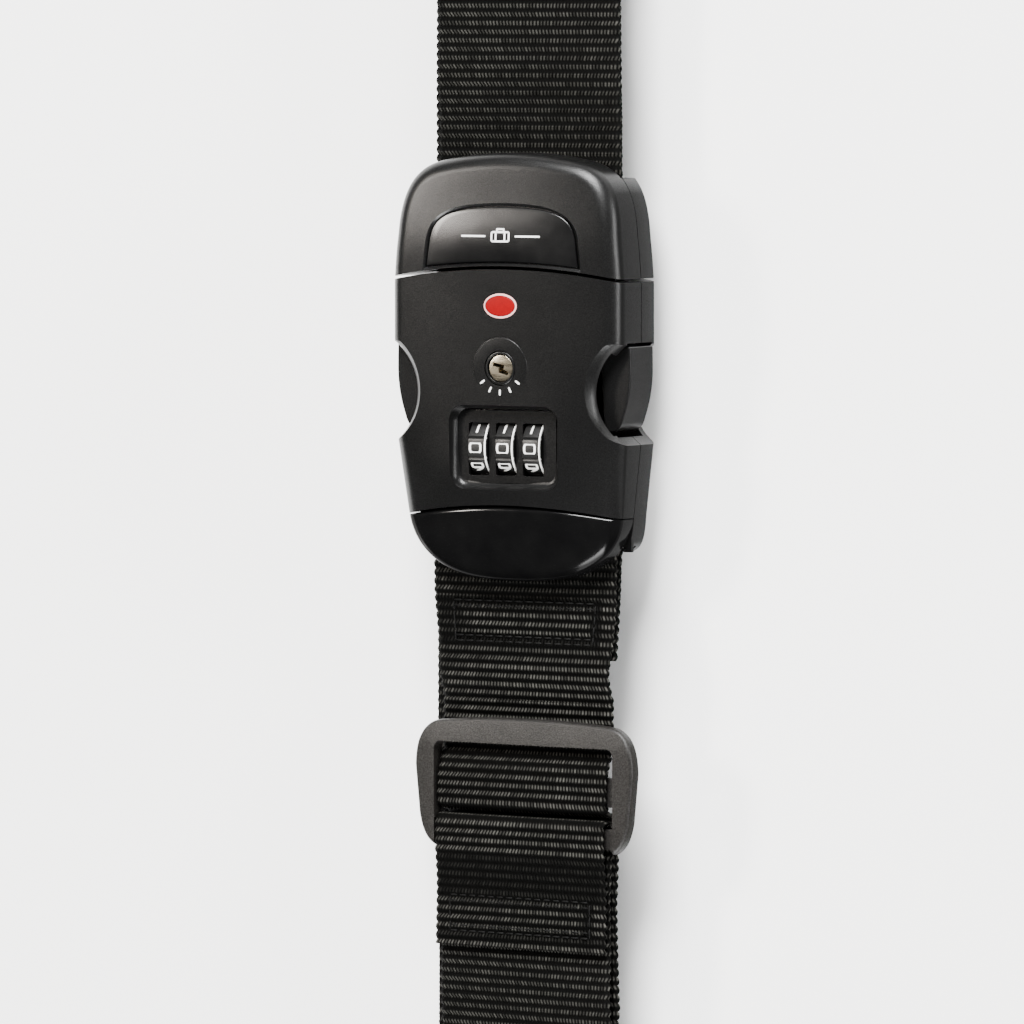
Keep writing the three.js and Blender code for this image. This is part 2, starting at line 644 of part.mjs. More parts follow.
// a ribbon of webbing along a line of [y, z] points, with square ends
function ribbon(name, line, { x = 0, lean = false, twist = false } = {}) {
  const path = line.filter(([y, z], i) => i === 0 || Math.hypot(y - line[i - 1][0], z - line[i - 1][1]) > 0.02);
  const positions = [];
  path.forEach(([y, z], i) => {
    const [ya, za] = path[Math.max(0, i - 1)];
    const [yb, zb] = path[Math.min(path.length - 1, i + 1)];
    const dirA = new THREE.Vector2(y - ya, z - za).normalize();
    const dirB = new THREE.Vector2(yb - y, zb - z).normalize();
    const along = dirA.clone().add(dirB).normalize();
    const known = dirA.lengthSq() > 0 ? dirA : dirB;
    const reach = WEB_THICK / 2 / Math.max(along.dot(known), 0.7);
    const centre = x + (lean ? leanAt(y, z) : 0);
    for (const [u, n] of [[-1, -1], [1, -1], [1, 1], [-1, 1]]) {
      const point = new THREE.Vector3(u * WEB_WIDTH / 2, 0, 0);
      point.y = y - along.y * n * reach;
      point.z = z + along.x * n * reach;
      if (twist) {
        const offset = new THREE.Vector3(point.x, 0, point.z - TWIST_Z);
        offset.applyAxisAngle(new THREE.Vector3(0, 1, 0), -twistAt(point.y));
        point.x = offset.x;
        point.z = offset.z + TWIST_Z;
      }
      positions.push(point.x + centre, point.y, point.z);
    }
  });
  const index = [0, 1, 2, 0, 2, 3];
  for (let i = 0; i < path.length - 1; i += 1) {
    for (let k = 0; k < 4; k += 1) {
      const a = i * 4 + k;
      const b = i * 4 + (k + 1) % 4;
      index.push(a, a + 4, b + 4, a, b + 4, b);
    }
  }
  const end = (path.length - 1) * 4;
  index.push(end, end + 2, end + 1, end, end + 3, end + 2);
  const geometry = new THREE.BufferGeometry();
  geometry.setAttribute("position", new THREE.Float32BufferAttribute(positions, 3));
  geometry.setIndex(index);
  const solid = solidOf(geometry);
  addMesh(name, geometryOf(solid), webbing);
}

const JOIN = 0.3;
const TOP_TURN_Y = STRAP_END - 4.3;
const INNER_TOP_Y = 152;
const INNER_BOTTOM_Y = -137;
const BOTTOM_TURN_Y = -STRAP_END + 8.3;
const BAND_Y = 138;
const BAND_WIDTH = 6;
const BAND_THICK = 0.6;
const BAND_LIFT = BAND_THICK + GAP;

// one folded layer from end to end, lifted where the storage band passes under it
function layerRun(layer, from, to) {
  const z = layerZ(layer);
  const humps = [[-8, 0], [-4, BAND_LIFT], [4, BAND_LIFT], [8, 0]].map(([y, lift]) => [BAND_Y + y, z + lift]);
  return [[from, z], ...(from < to ? humps : humps.reverse()), [to, z]];
}

function makeHank() {
  const z5 = layerZ(5);
  const topRadius = (RUN_Z - z5) / 2;
  const half = LAYER_PITCH / 2;
  ribbon("webbing_upper_run", [
    ...straight(77, 11.7, 67.6, 11.7),
    ...arc(65.9, 13.6, 1.9, 1.9, 270, 90, 8),
    ...straight(67.6, RUN_Z, TOP_TURN_Y, RUN_Z),
    ...arc(TOP_TURN_Y, (RUN_Z + z5) / 2, topRadius, topRadius, 90, -90, 8),
  ], { lean: true });
  ribbon("webbing_layer_5", layerRun(5, TOP_TURN_Y - JOIN, INNER_BOTTOM_Y + JOIN), { lean: true });
  ribbon("webbing_hank", [
    ...arc(INNER_BOTTOM_Y, z5 - half, half, half, 90, 270),
    ...layerRun(4, INNER_BOTTOM_Y, INNER_TOP_Y),
    ...arc(INNER_TOP_Y, layerZ(3) + half, half, half, 90, -90),
    ...layerRun(3, INNER_TOP_Y, INNER_BOTTOM_Y),
    ...arc(INNER_BOTTOM_Y, layerZ(3) - half, half, half, 90, 270),
    ...layerRun(2, INNER_BOTTOM_Y, INNER_TOP_Y),
    ...arc(INNER_TOP_Y, layerZ(1) + half, half, half, 90, -90),
  ], { lean: true });
  ribbon("webbing_layer_1", layerRun(1, INNER_TOP_Y - JOIN, BOTTOM_TURN_Y + JOIN), { lean: true });
}

function makeLowerRun() {
  const bottomMid = (layerZ(1) + 16.4) / 2;
  const bottomRadius = (16.4 - layerZ(1)) / 2;
  ribbon("webbing_lower_run", [
    ...arc(BOTTOM_TURN_Y, bottomMid, bottomRadius, bottomRadius, 270, 90, 10),
    ...straight(BOTTOM_TURN_Y, 16.4, -125, 16.4, 4),
    ...straight(-125, 16.4, -93, 16.4),
    ...straight(-85, 15.4, -81.5, 15),
    ...arc(-75.6, 16.95, 1.5, 1.95, -90, 90),
    ...straight(-81.5, 18.9, -89, 18.2),
    ...straight(-89, 18.2, -105.5, 18.2),
  ], { x: LOWER_X, lean: true, twist: true });
}

function makeAdjusterRun() {
  const frontZ = 16.2;
  ribbon("webbing_adjuster_run", [
    ...straight(-35.7, 14.4, -18, 14.3, 4),
    ...straight(-14, 13.8, -9, 12.7),
    ...arc(-6, 14.45, 1.75, 1.75, -90, 90, 8),
    ...straight(-10, frontZ, -18, frontZ),
    ...straight(-20, frontZ, -38, 16.5, 5),
    ...straight(-42, 16.1, -46, 15.2),
  ], { x: LOWER_X, twist: true });
  ribbon("webbing_adjuster_wave", [
    ...straight(-46 - JOIN, 15.1, -56, 15),
    ...straight(-58, 15.35, -61.4, 17.2),
    ...straight(-63.3, 17.95, -70.4, 17.95),
    ...straight(-71.9, 17.5, -72.3, 16.2),
    ...straight(-72.3, 16.2, -72.4, 14.6),
    ...straight(-73.2, 13.5, -75, 13.1),
    ...straight(-75, 13.1, -85, 13.1),
  ], { x: LOWER_X, twist: true });
  ribbon("webbing_tail", [
    ...straight(-85 - JOIN, 13.1, -125, 13.1),
    ...straight(-125, 13.1, -146, 12.6, 4),
  ], { x: LOWER_X, twist: true });
}

function makeStorageBand() {
  const topZ = layerZ(HIDDEN_LAYERS) + WEB_THICK / 2 + BAND_LIFT;
  const low = -RUN_Z * LAYER_LEAN - WEB_WIDTH / 2;
  const loop = (grow, bottom) => [
    [low - grow, bottom], [low + WEB_WIDTH + grow + 1.4, bottom],
    [low + WEB_WIDTH + topZ * LAYER_LEAN + grow + 0.4, topZ + grow], [low + topZ * LAYER_LEAN - grow - 1, topZ + grow],
  ].map(([x, z]) => new THREE.Vector2(x, z));
  const band = (points, width) => {
    const geometry = new THREE.ExtrudeGeometry(new THREE.Shape(points), { depth: width, bevelEnabled: false });
    geometry.rotateX(Math.PI / 2);
    geometry.translate(0, BAND_Y + width / 2, 0);
    return solidOf(geometry);
  };
  const outer = band(loop(GAP + BAND_THICK, 0), BAND_WIDTH);
  const inner = band(loop(GAP, BAND_THICK), BAND_WIDTH + 2);
  addMesh("storage_band", geometryOf(outer.subtract(inner)), elastic);
}

makeFrontHousing();
makeRearHousing();
makeBadge();
makeDialFrame();
makeDials();
makeDetentSpring();
makeKeyLock();
makeLockSlide();
makeReset();
makePlug();
makeArms();
makeBar("plug_bar", PLUG_BAR_Y, 13.6, 26.8);
makeBar("housing_bar", HOUSING_BAR_Y, 14.45, HOUSING_BAR_HALF);
makeScrews();
makeSlide();
makeHank();
makeLowerRun();
makeAdjusterRun();
makeStorageBand();

// the origin is under the middle of the whole object, on the surface that it lies on
const bounds = new THREE.Box3().setFromObject(part);
const middle = bounds.getCenter(new THREE.Vector3());
part.position.set(-middle.x, -middle.y, -bounds.min.z);
part.updateMatrixWorld(true);

export default part;
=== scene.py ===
"""A luggage strap lying on its back: 50 mm webbing, a three-dial buckle and a slide adjuster."""
import json
import math

import bmesh
import bpy
import numpy as np
from mathutils import Matrix, Vector


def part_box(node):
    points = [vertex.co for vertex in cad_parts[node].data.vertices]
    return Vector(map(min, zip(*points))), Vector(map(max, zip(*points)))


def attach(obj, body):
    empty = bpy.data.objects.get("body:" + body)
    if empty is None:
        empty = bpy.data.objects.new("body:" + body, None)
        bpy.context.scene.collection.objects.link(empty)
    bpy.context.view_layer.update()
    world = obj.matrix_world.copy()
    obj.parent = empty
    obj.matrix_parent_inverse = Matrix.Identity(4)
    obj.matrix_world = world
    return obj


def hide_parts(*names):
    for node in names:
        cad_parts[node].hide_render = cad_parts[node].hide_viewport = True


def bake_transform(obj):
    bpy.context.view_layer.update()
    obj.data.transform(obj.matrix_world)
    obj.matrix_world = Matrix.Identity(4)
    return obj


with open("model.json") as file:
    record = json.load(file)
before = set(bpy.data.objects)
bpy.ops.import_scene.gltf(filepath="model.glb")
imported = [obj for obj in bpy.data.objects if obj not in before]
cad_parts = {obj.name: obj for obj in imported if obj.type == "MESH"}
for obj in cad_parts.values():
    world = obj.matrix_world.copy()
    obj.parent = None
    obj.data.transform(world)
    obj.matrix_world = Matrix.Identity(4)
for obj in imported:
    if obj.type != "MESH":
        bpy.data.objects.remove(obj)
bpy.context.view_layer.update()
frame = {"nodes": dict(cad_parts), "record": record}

# ---------------------------------------------------------------- places and sizes
# Everything below is in millimetres in the buckle's own axes: X = 0 on its centre line, Y = 0 near its foot,
# Z = 0 on the floor. place() turns that into metres in the frame.
MM = 0.001
TAU = 2 * math.pi
KEY_Y = 34.2
_core_low, _core_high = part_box("key_core")
ORIGIN = Vector((
    (_core_low[0] + _core_high[0]) / 2,
    (_core_low[1] + _core_high[1]) / 2 - KEY_Y * MM,
    0.0,
))

BACK_Z, PART_Z, CROWN_Z = 9.5, 17.0, 30.0
GAP = 0.3
FRONT_ROUND, BACK_ROUND = 4.0, 1.4
# cutters reach past the buckle: this high, this far to each side and this far up
TALL, WIDE, FAR = 40, 40, 99
HALF_WIDTH = 31.2
BOTTOM_Y, TOP_Y = -17.0, 85.4
SEAM_APEX, SEAM_RISE, SEAM_GAP = 57.7, 2.9, 0.8
CAP_APEX, CAP_RISE = 1.1, 3.2
CEILING_Z, FLOOR_Z = 27.6, 11.6
CAVITY_HALF, CAVITY_LOW_Y, SIDE_WALL = 28.4, -13.5, 1.8
SCOOP_RADIUS, SCOOP_X, SCOOP_Y = 14.4, 39.2, 28.0
WINDOW_LOW_Y, WINDOW_HIGH_Y = 18.0, 40.4
ARM_FRONT_Z, ARM_REACH = 23.5, 31.8
FRAME_TOP_Z = 27.0
EDGE_DROP, FOOT_EDGE_DROP, FOOT_DROP, TOP_DROP = 1.5, 6.3, 6.5, 2.2
LUG_HALF, LUG_LOW_Y = 29.2, -9.6
DIAL_PITCH, DIAL_RADIUS, DIAL_WIDTH, DIAL_BORE = 7.4, 8.0, 5.0, 2.7
DIAL_Y, DIAL_Z = 15.0, 20.4
BADGE_Y = 49.0
POST_RADIUS, PILOT_RADIUS, SHANK_RADIUS, HEAD_RADIUS = 2.6, 1.3, 1.4, 2.6
HOUSING_SCREWS = [(-22.8, 10), (22.8, 10), (-15.2, 50), (15.2, 50)]
PLUG_SCREWS = [(-13, 60.4), (13, 60.4)]

SLIDE_TWIST = math.radians(6.5)
SLIDE_X, LOWER_X = 0.4, -0.6
SLIDE_HALF = 32.0
SLIDE_TOP_Y, SLIDE_BOTTOM_Y = -50.3, -82.0
SLIDE_BACK_Z, SLIDE_FRONT_Z = 16.0, 19.2
TWIST_Z = 16.5

WEB_WIDTH, WEB_THICK = 50.0, 1.5
RIB_PITCH = 2.08
YARN_PITCH = 0.94
LAYER_PITCH = 1.9
LAYER_LEAN = math.tan(math.radians(29))
RUN_Z = 15.5
STRAP_END = 163.0
TOP_TURN_Y = STRAP_END - 4.3
INNER_TOP_Y, INNER_BOTTOM_Y = 152.0, -137.0
BOTTOM_TURN_Y = -STRAP_END + 8.3
JOIN = 0.3
BAND_Y, BAND_WIDTH, BAND_THICK = 138.0, 6.0, 0.6
BAND_LIFT = BAND_THICK + GAP


def smooth(a, b, value):
    t = np.clip((value - a) / (b - a), 0, 1)
    return t * t * (3 - 2 * t)


def front_drop(x, y):
    """How far the domed front lies below its crown."""
    top = TOP_DROP * smooth(60, TOP_Y + 3, y)
    edge = EDGE_DROP + top + FOOT_EDGE_DROP * smooth(38, BOTTOM_Y, y)
    centre = top + FOOT_DROP * smooth(12, BOTTOM_Y - 3, y)
    return centre + (edge - centre) * np.minimum(1, np.abs(x) / HALF_WIDTH) ** 2.6


def place(points):
    """Millimetres in the buckle's axes to metres in the frame."""
    return np.asarray(points, float) * MM + np.array(ORIGIN)


# ---------------------------------------------------------------- camera
CAMERA_YAW = math.radians(29)
CAMERA_LIFT = math.radians(3.0)
CAMERA_DISTANCE = 2.4
IMAGE_SIDE, SENSOR = 1024, 36
PIXELS_PER_MM = 4.2
AIM = (3.27, 0.0, CROWN_Z)


def make_camera():
    aim = Vector(place([AIM])[0])
    away = Vector((
        math.sin(CAMERA_YAW) * math.cos(CAMERA_LIFT),
        math.sin(CAMERA_LIFT),
        math.cos(CAMERA_YAW) * math.cos(CAMERA_LIFT),
    ))
    data = bpy.data.cameras.new("camera")
    data.sensor_width = SENSOR
    data.lens = PIXELS_PER_MM / MM * CAMERA_DISTANCE / IMAGE_SIDE * SENSOR
    data.clip_end = 100
    camera = bpy.data.objects.new("camera", data)
    bpy.context.collection.objects.link(camera)
    side = Vector((0, 1, 0)).cross(away).normalized()
    up = away.cross(side)
    stand = [a + b * CAMERA_DISTANCE for a, b in zip(aim, away)]
    camera.matrix_world = Matrix(((*side, 0), (*up, 0), (*away, 0), (*stand, 1))).transposed()
    bpy.context.scene.camera = camera


# ---------------------------------------------------------------- materials
class Nodes:
    """A small helper that builds a node tree."""

    def __init__(self, name):
        self.material = bpy.data.materials.new(name)
        self.material.use_nodes = True
        self.tree = self.material.node_tree
        self.tree.nodes.clear()
        self.output = self.tree.nodes.new("ShaderNodeOutputMaterial")
        self.shader = self.tree.nodes.new("ShaderNodeBsdfPrincipled")
        self.link(self.shader.outputs[0], self.output.inputs[0])

    def link(self, a, b):
        self.tree.links.new(a, b)

    def new(self, kind, inputs=None, **settings):
        node = self.tree.nodes.new(kind)
        for key, value in settings.items():
            setattr(node, key, value)
        for key, value in (inputs or {}).items():
            if hasattr(value, "is_output"):
                self.link(value, node.inputs[key])
            else:
                node.inputs[key].default_value = value
        return node

    def math(self, operation, a, b=0.0, clamp=False):
        return self.new("ShaderNodeMath", {0: a, 1: b}, operation=operation, use_clamp=clamp).outputs[0]

    def times(self, a, b, clamp=False):
        return self.math("MULTIPLY", a, b, clamp)

    def noise(self, scale, detail=3.0, rough=0.55, vector=None):
        if vector is None:
            vector = self.new("ShaderNodeTexCoord").outputs["Object"]
        inputs = {"Vector": vector, "Scale": scale, "Detail": detail, "Roughness": rough}
        return self.new("ShaderNodeTexNoise", inputs).outputs["Fac"]

    def ramp(self, value, low, high, to_low=0.0, to_high=1.0):
        node = self.new("ShaderNodeMapRange", {
            "Value": value, "From Min": low, "From Max": high, "To Min": to_low, "To Max": to_high,
        })
        return node.outputs[0]

    def mix(self, value, a, b):
        node = self.new("ShaderNodeMix", {"Factor": value}, data_type="RGBA")
        for socket, color in (("A", a), ("B", b)):
            target = [s for s in node.inputs if s.name == socket and s.type == "RGBA"][0]
            if hasattr(color, "is_output"):
                self.link(color, target)
            else:
                target.default_value = (*color, 1)
        return [s for s in node.outputs if s.type == "RGBA"][0]

    def bump(self, height, distance, strength=1.0):
        inputs = {"Height": height, "Distance": distance, "Strength": strength}
        return self.new("ShaderNodeBump", inputs).outputs[0]

    def side_finish(self, start=0.6, end=0.92, foot=False):
        """Painted shade: upright sides, and the foot if asked, reflect less than the front, chosen by which way
        each face points.
        """
        normal = self.new("ShaderNodeTexCoord").outputs["Normal"]
        axes = self.new("ShaderNodeSeparateXYZ", {0: normal}).outputs
        sideways = self.math("ABSOLUTE", axes[0])
        if foot:
            sideways = self.math("MAXIMUM", sideways, self.times(axes[1], -1.0))
        return self.ramp(sideways, start, end, 1.0, 0.07)

    def set(self, **values):
        for key, value in values.items():
            socket = self.shader.inputs[key.replace("_", " ")]
            if hasattr(value, "is_output"):
                self.link(value, socket)
            else:
                socket.default_value = (*value, 1) if isinstance(value, tuple) and len(value) == 3 else value
        return self.material


def moulded_plastic(name, color, lift, grain_size, grain_depth, rough_low, rough_high, specular=0.4):
    n = Nodes(name)
    smudge = n.noise(70, 4)
    grain = n.noise(1 / (grain_size * MM), 2, 0.6)
    fine = n.noise(2.7 / (grain_size * MM), 1, 0.5)
    height = n.math("ADD", grain, n.times(fine, 0.5))
    tint = n.mix(n.ramp(grain, 0.35, 0.75), color, tuple(c * lift for c in color))
    shine = n.ramp(grain, 0.35, 0.65, 0.8, 1.25)
    tint = n.mix(n.ramp(smudge, 0.35, 0.8, 0, 0.25), tint, tuple(c * 1.5 for c in color))
    return n.set(
        Base_Color=tint,
        Roughness=n.ramp(n.math("ADD", smudge, n.times(grain, 0.4)), 0.45, 0.95, rough_low, rough_high),
        Normal=n.bump(height, grain_depth * MM, 0.6),
        # painted shade: the specular level drops on the upright sides
        Specular_IOR_Level=n.times(specular, n.times(shine, n.side_finish())),
    )


def gloss_black(name, rough, specular):
    n = Nodes(name)
    haze = n.noise(120, 4)
    return n.set(
        Base_Color=n.mix(n.ramp(haze, 0.3, 0.8), (0.0015, 0.0015, 0.0016), (0.003, 0.003, 0.003)),
        Roughness=n.ramp(haze, 0.3, 0.8, rough * 0.85, rough * 1.15),
        Normal=n.bump(n.noise(160, 2), 0.01 * MM, 0.25),
        # painted shade: the specular level drops on the sides and the foot, so only the top arc keeps its
        # highlight
        Specular_IOR_Level=n.times(specular, n.side_finish(0.3, 0.5, foot=True)),
    )


def metal(name, color, rough, brushed=900):
    n = Nodes(name)
    coords = n.new("ShaderNodeTexCoord").outputs["Object"]
    stretched = n.new("ShaderNodeMapping", {"Vector": coords, "Scale": (0.15, 1, 1)}).outputs[0]
    lines = n.noise(brushed, 4, 0.7, vector=stretched)
    stain = n.noise(400, 4)
    return n.set(
        Base_Color=n.mix(n.ramp(stain, 0.3, 0.75), color, tuple(c * 0.7 for c in color)),
        Metallic=1.0,
        Roughness=n.ramp(lines, 0.3, 0.7, rough * 0.8, rough * 1.3),
        Normal=n.bump(lines, 0.03 * MM, 0.5),
    )


def painted(name, color, rough, coat=0.0, specular=0.5):
    n = Nodes(name)
    patch = n.noise(900, 4)
    return n.set(
        Base_Color=n.mix(n.ramp(patch, 0.3, 0.8), color, tuple(c * 0.82 for c in color)),
        Roughness=n.ramp(patch, 0.3, 0.8, rough * 0.85, rough * 1.2),
        Normal=n.bump(patch, 0.01 * MM, 0.4),
        Specular_IOR_Level=specular,
        Coat_Weight=coat,
        Coat_Roughness=0.08,
    )


def webbing_material():
    """Ribbed webbing: the attribute holds millimetres across and along, so the yarns follow every fold."""
    n = Nodes("webbing")
    weave = n.new("ShaderNodeAttribute", attribute_name="weave", attribute_type="GEOMETRY").outputs["Vector"]
    press = n.new("ShaderNodeAttribute", attribute_name="press", attribute_type="GEOMETRY").outputs["Fac"]
    axes = n.new("ShaderNodeSeparateXYZ", {0: weave}).outputs
    wobble = n.times(n.math("SUBTRACT", n.noise(0.12, 3, vector=weave), 0.5), 0.9)
    rib = n.math("DIVIDE", axes[1], RIB_PITCH)
    row = n.math("FLOOR", rib)
    along = n.math("SUBTRACT", n.math("FRACT", rib), 0.5)
    parity = n.math("SUBTRACT", n.times(n.math("MODULO", n.math("ABSOLUTE", row), 2.0), 2.0), 1.0)
    slant = n.times(n.times(along, parity), 0.35)
    shift = n.times(parity, 0.13)
    moved = n.math("ADD", slant, n.math("ADD", shift, wobble))
    yarn = n.math("ADD", n.math("DIVIDE", axes[0], YARN_PITCH), moved)
    across = n.math("SUBTRACT", n.math("FRACT", yarn), 0.5)
    # a plump yarn, highest in its middle, that dives under at both ends of its float
    body = n.math("SUBTRACT", 1.0, n.math("POWER", n.times(n.math("ABSOLUTE", across), 2.0), 2.0))
    float_shape = n.ramp(n.math("ABSOLUTE", along), 0.15, 0.42, 1.0, 0.0)
    height = n.times(body, float_shape, clamp=True)
    strand_space = n.new("ShaderNodeCombineXYZ", {0: n.times(yarn, 7.0), 1: n.times(rib, 0.8)})
    strands = n.noise(1.6, 3, 0.6, vector=strand_space.outputs[0])
    cell = n.new("ShaderNodeCombineXYZ", {0: n.math("FLOOR", yarn), 1: row, 2: 0.0}).outputs[0]
    chance = n.new("ShaderNodeTexWhiteNoise", {"Vector": cell}, noise_dimensions="3D").outputs["Value"]
    # painted light: the yarn crests get a painted highlight in the base colour and the grooves painted shade;
    # pressed webbing loses the painted highlight
    light = n.times(n.math("POWER", height, 2.6), n.ramp(chance, 0, 1, 0.3, 1.0))
    light = n.times(light, n.ramp(strands, 0.3, 0.7, 0.55, 1.15), clamp=True)
    patch = n.ramp(n.noise(0.05, 3, vector=weave), 0.3, 0.75, 0.7, 1.1)
    light = n.times(n.times(light, patch), n.ramp(press, 0, 1, 1.0, 0.1))
    color = n.mix(light, (0.0008, 0.0008, 0.0007), (0.058, 0.057, 0.051))
    bumped = n.math("ADD", height, n.times(strands, 0.22))
    return n.set(
        Base_Color=color,
        Roughness=n.ramp(strands, 0.3, 0.7, 0.5, 0.7),
        Normal=n.bump(bumped, 0.32 * MM, 1.0),
        Specular_IOR_Level=0.02,
    )


def thread_material():
    n = Nodes("thread")
    fibre = n.noise(5200, 3, 0.7)
    return n.set(
        Base_Color=n.mix(n.ramp(fibre, 0.3, 0.7), (0.0005, 0.0005, 0.0005), (0.004, 0.004, 0.0037)),
        Roughness=n.ramp(fibre, 0.3, 0.7, 0.4, 0.7),
        Normal=n.bump(fibre, 0.05 * MM, 0.8),
        Specular_IOR_Level=0.08,
    )


def floor_material():
    n = Nodes("floor")
    return n.set(
        Base_Color=n.mix(n.ramp(n.noise(6, 3), 0.3, 0.7), (0.93, 0.93, 0.925), (0.95, 0.95, 0.945)),
        Roughness=0.9,
        Specular_IOR_Level=0.2,
    )


# ---------------------------------------------------------------- mesh helpers (millimetres in, frame out)
def mesh_object(name, vertices, faces, material=None, smooth_angle=None, in_mm=True):
    mesh = bpy.data.meshes.new(name)
    points = place(vertices) if in_mm else np.asarray(vertices, float)
    mesh.from_pydata([tuple(p) for p in points], [], [tuple(int(i) for i in f) for f in faces])
    mesh.update()
    obj = bpy.data.objects.new(name, mesh)
    bpy.context.collection.objects.link(obj)
    if material:
        mesh.materials.append(material)
    if smooth_angle is not None:
        shade(obj, smooth_angle)
    return obj


def shade(obj, degrees):
    mesh = obj.data
    mesh.polygons.foreach_set("use_smooth", [True] * len(mesh.polygons))
    mesh.set_sharp_from_angle(angle=math.radians(degrees))
    mesh.update()


def apply_modifiers(obj):
    depsgraph = bpy.context.evaluated_depsgraph_get()
    mesh = bpy.data.meshes.new_from_object(obj.evaluated_get(depsgraph))
    old = obj.data
    obj.modifiers.clear()
    obj.data = mesh
    bpy.data.meshes.remove(old)
    return obj


def extrude(points, z0, z1, name="extrusion"):
    """A straight solid between two flat ends with the outline of points."""
    count = len(points)
    vertices = [(x, y, z) for z in (z0, z1) for x, y in points]
    faces = cap_faces(2, count) + tube_faces(2, count)
    return mesh_object(name, vertices, faces)


def tube_faces(rings, size, base=0, closed=False):
    """Quads between rings of size points each, and from the last ring to the first if closed."""
    quads = []
    for i in range(rings if closed else rings - 1):
        ahead = base + (i + 1) % rings * size
        for k in range(size):
            after = (k + 1) % size
            quads.append((base + i * size + k, base + i * size + after, ahead + after, ahead + k))
    return quads


def cap_faces(rings, size, base=0):
    last = base + (rings - 1) * size
    return [tuple(range(base, base + size))[::-1], tuple(range(last, last + size))]


def face_outwards(mesh, join_within=None):
    scratch = bmesh.new()
    scratch.from_mesh(mesh)
    if join_within:
        bmesh.ops.remove_doubles(scratch, verts=scratch.verts, dist=join_within)
        bmesh.ops.dissolve_degenerate(scratch, edges=scratch.edges, dist=join_within)
    bmesh.ops.recalc_face_normals(scratch, faces=scratch.faces)
    scratch.to_mesh(mesh)
    scratch.free()


def boolean(target, cutters, operation="DIFFERENCE"):
    for cutter in cutters if isinstance(cutters, (list, tuple)) else [cutters]:
        modifier = target.modifiers.new("cut", "BOOLEAN")
        modifier.operation = operation
        modifier.solver = "EXACT"
        modifier.object = cutter
        apply_modifiers(target)
        mesh = cutter.data
        bpy.data.objects.remove(cutter)
        bpy.data.meshes.remove(mesh)
    return target


def soften(obj, width, segments=2, angle=32, smooth=38):
    """Rounds every sharp edge a little, as a moulding has it."""
    face_outwards(obj.data, 0.004 * MM)
    modifier = obj.modifiers.new("soften", "BEVEL")
    modifier.width = width * MM
    modifier.segments = segments
    modifier.limit_method = "ANGLE"
    modifier.angle_limit = math.radians(angle)
    modifier.use_clamp_overlap = True
    modifier.harden_normals = True
    shade(obj, smooth)
    apply_modifiers(obj)
    return obj


def dome(obj):
    """Lowers everything in front of the parting plane, in proportion to its height."""
    mesh = obj.data
    points = np.empty(len(mesh.vertices) * 3)
    mesh.vertices.foreach_get("co", points)
    points = (points.reshape(-1, 3) - np.array(ORIGIN)) / MM
    share = np.clip((points[:, 2] - PART_Z) / (CROWN_Z - PART_Z), 0, 1)
    points[:, 2] -= front_drop(points[:, 0], points[:, 1]) * share
    mesh.vertices.foreach_set("co", place(points).reshape(-1))
    mesh.update()
    return obj


def refine(obj, longest):
    """Splits long edges, so that the dome bends every face."""
    scratch = bmesh.new()
    scratch.from_mesh(obj.data)
    bmesh.ops.triangulate(scratch, faces=scratch.faces)
    for _ in range(6):
        edges = [e for e in scratch.edges if e.calc_length() > longest * MM]
        if not edges:
            break
        bmesh.ops.subdivide_edges(scratch, edges=edges, cuts=1)
        bmesh.ops.triangulate(scratch, faces=[f for f in scratch.faces if len(f.verts) > 3])
    scratch.to_mesh(obj.data)
    scratch.free()
    return obj


def fan_cap(ring, centre, flip):
    count = len(ring)
    faces = [(centre, ring[i], ring[(i + 1) % count]) for i in range(count)]
    return [face[::-1] for face in faces] if flip else faces


def inset(points, amount):
    """Moves every point of a closed outline inwards by amount."""
    points = np.asarray(points, float)
    before, after = np.roll(points, 1, 0), np.roll(points, -1, 0)

    def inward(a, b):
        d = b - a
        normal = np.stack([-d[:, 1], d[:, 0]], 1)
        return normal / np.maximum(np.linalg.norm(normal, axis=1, keepdims=True), 1e-9)

    first = inward(before, points)
    mean = first + inward(points, after)
    mean /= np.linalg.norm(mean, axis=1, keepdims=True)
    reach = amount / np.maximum((mean * first).sum(1, keepdims=True), 0.6)
    return points + mean * reach


def stacked(name, rings, heights):
    """A closed solid through rings of equal point count, from low to high."""
    count, last = len(rings[0]), (len(rings) - 1) * len(rings[0])
    vertices = [(x, y, z) for ring, z in zip(rings, heights) for x, y in ring]
    for end in (0, -1):
        vertices.append((*np.mean(rings[end], axis=0), heights[end]))
    faces = tube_faces(len(rings), count)
    faces += fan_cap(list(range(count)), last + count, True)
    faces += fan_cap(list(range(last, last + count)), last + count + 1, False)
    return mesh_object(name, vertices, faces)


def prism(name, points, z0, z1):
    return stacked(name, [points, points], [z0, z1])


def rounded_plate(name, points, z0, z1, top=0.0, bottom=0.0, steps=7, top_rings=()):
    """A plate with rounded edges. top_rings are the shares at which its top outline repeats inwards."""
    points = np.asarray(points, float)
    rings, heights = [], []

    def ring(radius, step, height_at):
        angle = step / steps * math.pi / 2
        rings.append(inset(points, radius * (1 - math.cos(angle))))
        heights.append(height_at(math.sin(angle)))

    for step in range(steps if bottom else 0, 0, -1):
        ring(bottom, step, lambda rise: z0 + bottom * (1 - rise))
    rings.append(points)
    heights.append(z0 + bottom)
    if top:
        for step in range(0 if z1 - top > z0 + bottom + 1e-6 else 1, steps + 1):
            ring(top, step, lambda rise: z1 - top + top * rise)
    else:
        rings.append(points)
        heights.append(z1)
    last = rings[-1]
    middle = last.mean(0)
    rings += [middle + (last - middle) * share for share in top_rings]
    return stacked(name, rings, heights + [z1] * len(top_rings))


def ellipse(rx, ry, x, y, count=48):
    angles = np.arange(count) / count * TAU
    return np.stack([x + rx * np.cos(angles), y + ry * np.sin(angles)], 1)


def circle(radius, x=0.0, y=0.0, count=64):
    return ellipse(radius, radius, x, y, count)


def cylinder(radius, z0, z1, x, y, count=64):
    return prism("cylinder", circle(radius, x, y, count), z0, z1)


